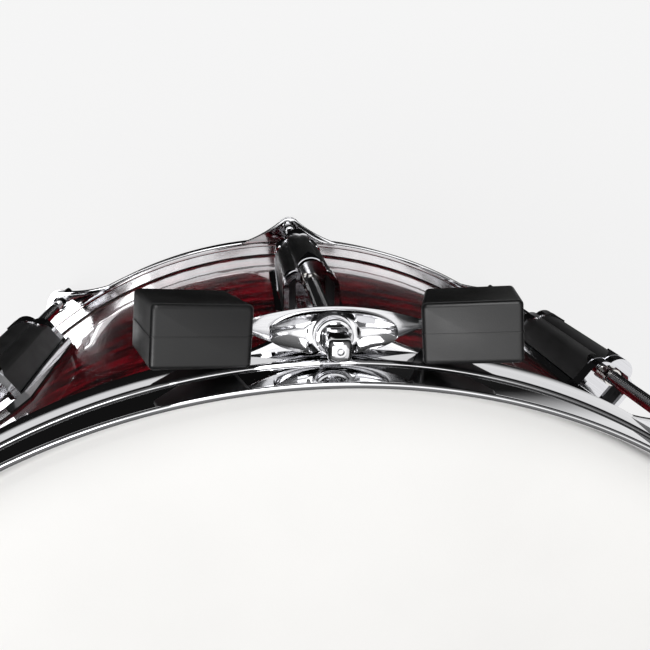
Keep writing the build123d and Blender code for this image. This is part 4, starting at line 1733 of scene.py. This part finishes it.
@dataclass
class Studio:
    """The camera, the pale floor and the soft lights."""

    camera_place: tuple[float, float, float] = (22.98, -244.50, 366.99)
    camera_target: tuple[float, float, float] = (4.00, -197.65, 210.5)
    camera_roll: float = 158.13
    lens: float = 38.825
    floor_half_m: float = 8.0
    dome_radius_m: float = 7.5
    pale: str = "#f5f5f5"
    upper_bands: tuple[tuple[float, float], ...] = (
        (0.50, 0.01), (0.62, 0.08), (0.80, 0.22), (0.92, 0.28), (0.955, 1.5), (1.0, 1.5),
    )
    minus_x_bands: tuple[tuple[float, float], ...] = (
        (0.0, 0.004), (0.045, 0.004), (0.05, 0.5), (0.06, 0.02), (0.10, 0.01), (0.12, 0.9), (0.20, 0.9),
        (0.24, 0.02),
    )
    middle_bands: tuple[tuple[float, float], ...] = (
        (0.0, 0.004), (0.10, 0.004), (0.12, 0.9), (0.20, 0.9), (0.24, 0.02),
    )
    plus_x_bands: tuple[tuple[float, float], ...] = (
        (0.0, 0.004), (0.125, 0.01), (0.14, 0.9), (0.20, 0.9), (0.24, 0.02),
    )
    zone_edges: tuple[float, float] = (-0.2, 0.24)
    zone_blend: float = 0.03

    def build(self) -> None:
        """Build everything that isn't the drum."""
        bpy.context.scene.view_settings.view_transform = "Standard"
        bpy.context.scene.view_settings.look = "None"
        self.add_camera()
        self.add_surroundings()
        self.add_backdrop()
        self.add_softboxes()

    def add_camera(self) -> None:
        """Add the camera."""
        data = bpy.data.cameras.new("camera")
        data.lens = self.lens
        data.sensor_width = 36.0
        data.clip_start = 0.005
        camera = bpy.data.objects.new("camera", data)
        bpy.context.scene.collection.objects.link(camera)
        place, target = Vector(self.camera_place) * MM, Vector(self.camera_target) * MM
        level = (target - place).to_track_quat("-Z", "Y").to_matrix()
        turned = level @ Matrix.Rotation(math.radians(self.camera_roll), 3, "Z")
        camera.matrix_world = Matrix.Translation(place) @ turned.to_4x4()
        bpy.context.scene.camera = camera

    def add_surroundings(self) -> None:
        """Light the scene from a studio of dark and bright bands."""
        world = bpy.data.worlds.new("studio")
        bpy.context.scene.world = world
        world.use_nodes = True
        tree = world.node_tree
        background = tree.nodes["Background"]
        ray = add_node(tree, "ShaderNodeTexCoord").outputs["Generated"]
        across, _, height = add_node(tree, "ShaderNodeSeparateXYZ", links={0: ray}).outputs
        share = add_node(
            tree,
            "ShaderNodeMapRange",
            values={"From Min": -1.0, "From Max": 1.0},
            links={"Value": height},
        ).outputs["Result"]
        zones = []
        for bands in (self.minus_x_bands, self.middle_bands, self.plus_x_bands):
            stops = [(spot, (grey, grey, grey, 1.0)) for spot, grey in bands + self.upper_bands]
            zones.append(
                add_node(tree, "ShaderNodeValToRGB", links={"Fac": share}, stops=stops).outputs[0]
            )
        colour = zones[0]
        for zone, edge in zip(zones[1:], self.zone_edges):
            turn = add_node(
                tree,
                "ShaderNodeMapRange",
                {"interpolation_type": "SMOOTHSTEP"},
                {"From Min": edge - self.zone_blend, "From Max": edge + self.zone_blend},
                {"Value": across},
            ).outputs["Result"]
            colour = add_node(
                tree, "ShaderNodeMix", {"data_type": "RGBA"}, links={0: turn, 6: colour, 7: zone}
            ).outputs[2]
        tree.links.new(colour, background.inputs["Color"])
        background.inputs["Strength"].default_value = 1.0

    def glow(self, name: str, strength: float, diffuse: float) -> bpy.types.Material:
        """Make the backdrop's pale, mostly self-lit material.

        Args:
            name: The material's name.
            strength: How strongly it glows.
            diffuse: How much of its colour also takes light.

        Returns:
            The material.
        """
        material = bpy.data.materials.new(name)
        material.use_nodes = True
        shader = material.node_tree.nodes["Principled BSDF"]
        pale = linear(self.pale)
        shader.inputs["Base Color"].default_value = tuple(c * diffuse for c in pale[:3]) + (1.0,)
        shader.inputs["Roughness"].default_value = 1.0
        shader.inputs["Specular IOR Level"].default_value = 0.0
        shader.inputs["Emission Color"].default_value = pale
        shader.inputs["Emission Strength"].default_value = strength
        return material

    def add_backdrop(self) -> None:
        """Add the floor, and a dome of the same tone behind it."""
        half = self.floor_half_m / MM
        corners = [(-half, -half, 0), (half, -half, 0), (half, half, 0), (-half, half, 0)]
        floor = new_object("floor", mesh_from("floor", corners, [(0, 1, 2, 3)]))
        floor.data.materials.append(self.glow("pale_floor", 0.88, 0.12))
        floor.location.z = -0.2 * MM
        floor.visible_glossy = False
        floor.visible_diffuse = False
        dome_mesh = bpy.data.meshes.new("dome")
        work = bmesh.new()
        bmesh.ops.create_uvsphere(
            work, u_segments=48, v_segments=24, radius=self.dome_radius_m
        )
        work.to_mesh(dome_mesh)
        work.free()
        dome = new_object("dome", dome_mesh)
        dome.data.materials.append(self.glow("pale_dome", 1.0, 0.0))
        for ray in ("diffuse", "glossy", "transmission", "volume_scatter", "shadow"):
            setattr(dome, f"visible_{ray}", False)

    def add_softboxes(self) -> None:
        """Hang the large soft lights."""
        for name, place, size, power in (
            ("key", (0.8, 0.1, 1.45), 0.8, 8.5),
            ("fill", (-0.9, 0.5, 1.3), 0.9, 2.0),
            ("front", (0.1, -0.95, 0.85), 0.6, 4.5),
        ):
            data = bpy.data.lights.new(name, "AREA")
            data.shape = "SQUARE"
            data.size = size
            data.energy = power
            lamp = bpy.data.objects.new(name, data)
            bpy.context.scene.collection.objects.link(lamp)
            aim = Vector((0.0, 0.0, 0.15)) - Vector(place)
            turned = aim.to_track_quat("-Z", "Y").to_matrix().to_4x4()
            lamp.matrix_world = Matrix.Translation(place) @ turned


def main() -> None:
    """Build the drum's looks on the frame, then the studio round it."""
    logging.basicConfig(level=logging.INFO, format="%(name)s: %(message)s")
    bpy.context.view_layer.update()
    finishes = Finishes()
    for kind in (DrumShell, Heads, Counterhoops, Lugs, TensionRods, TwoBlockRest):
        kind(finishes).build()
    Studio().build()


if __name__ == "__main__":
    main()
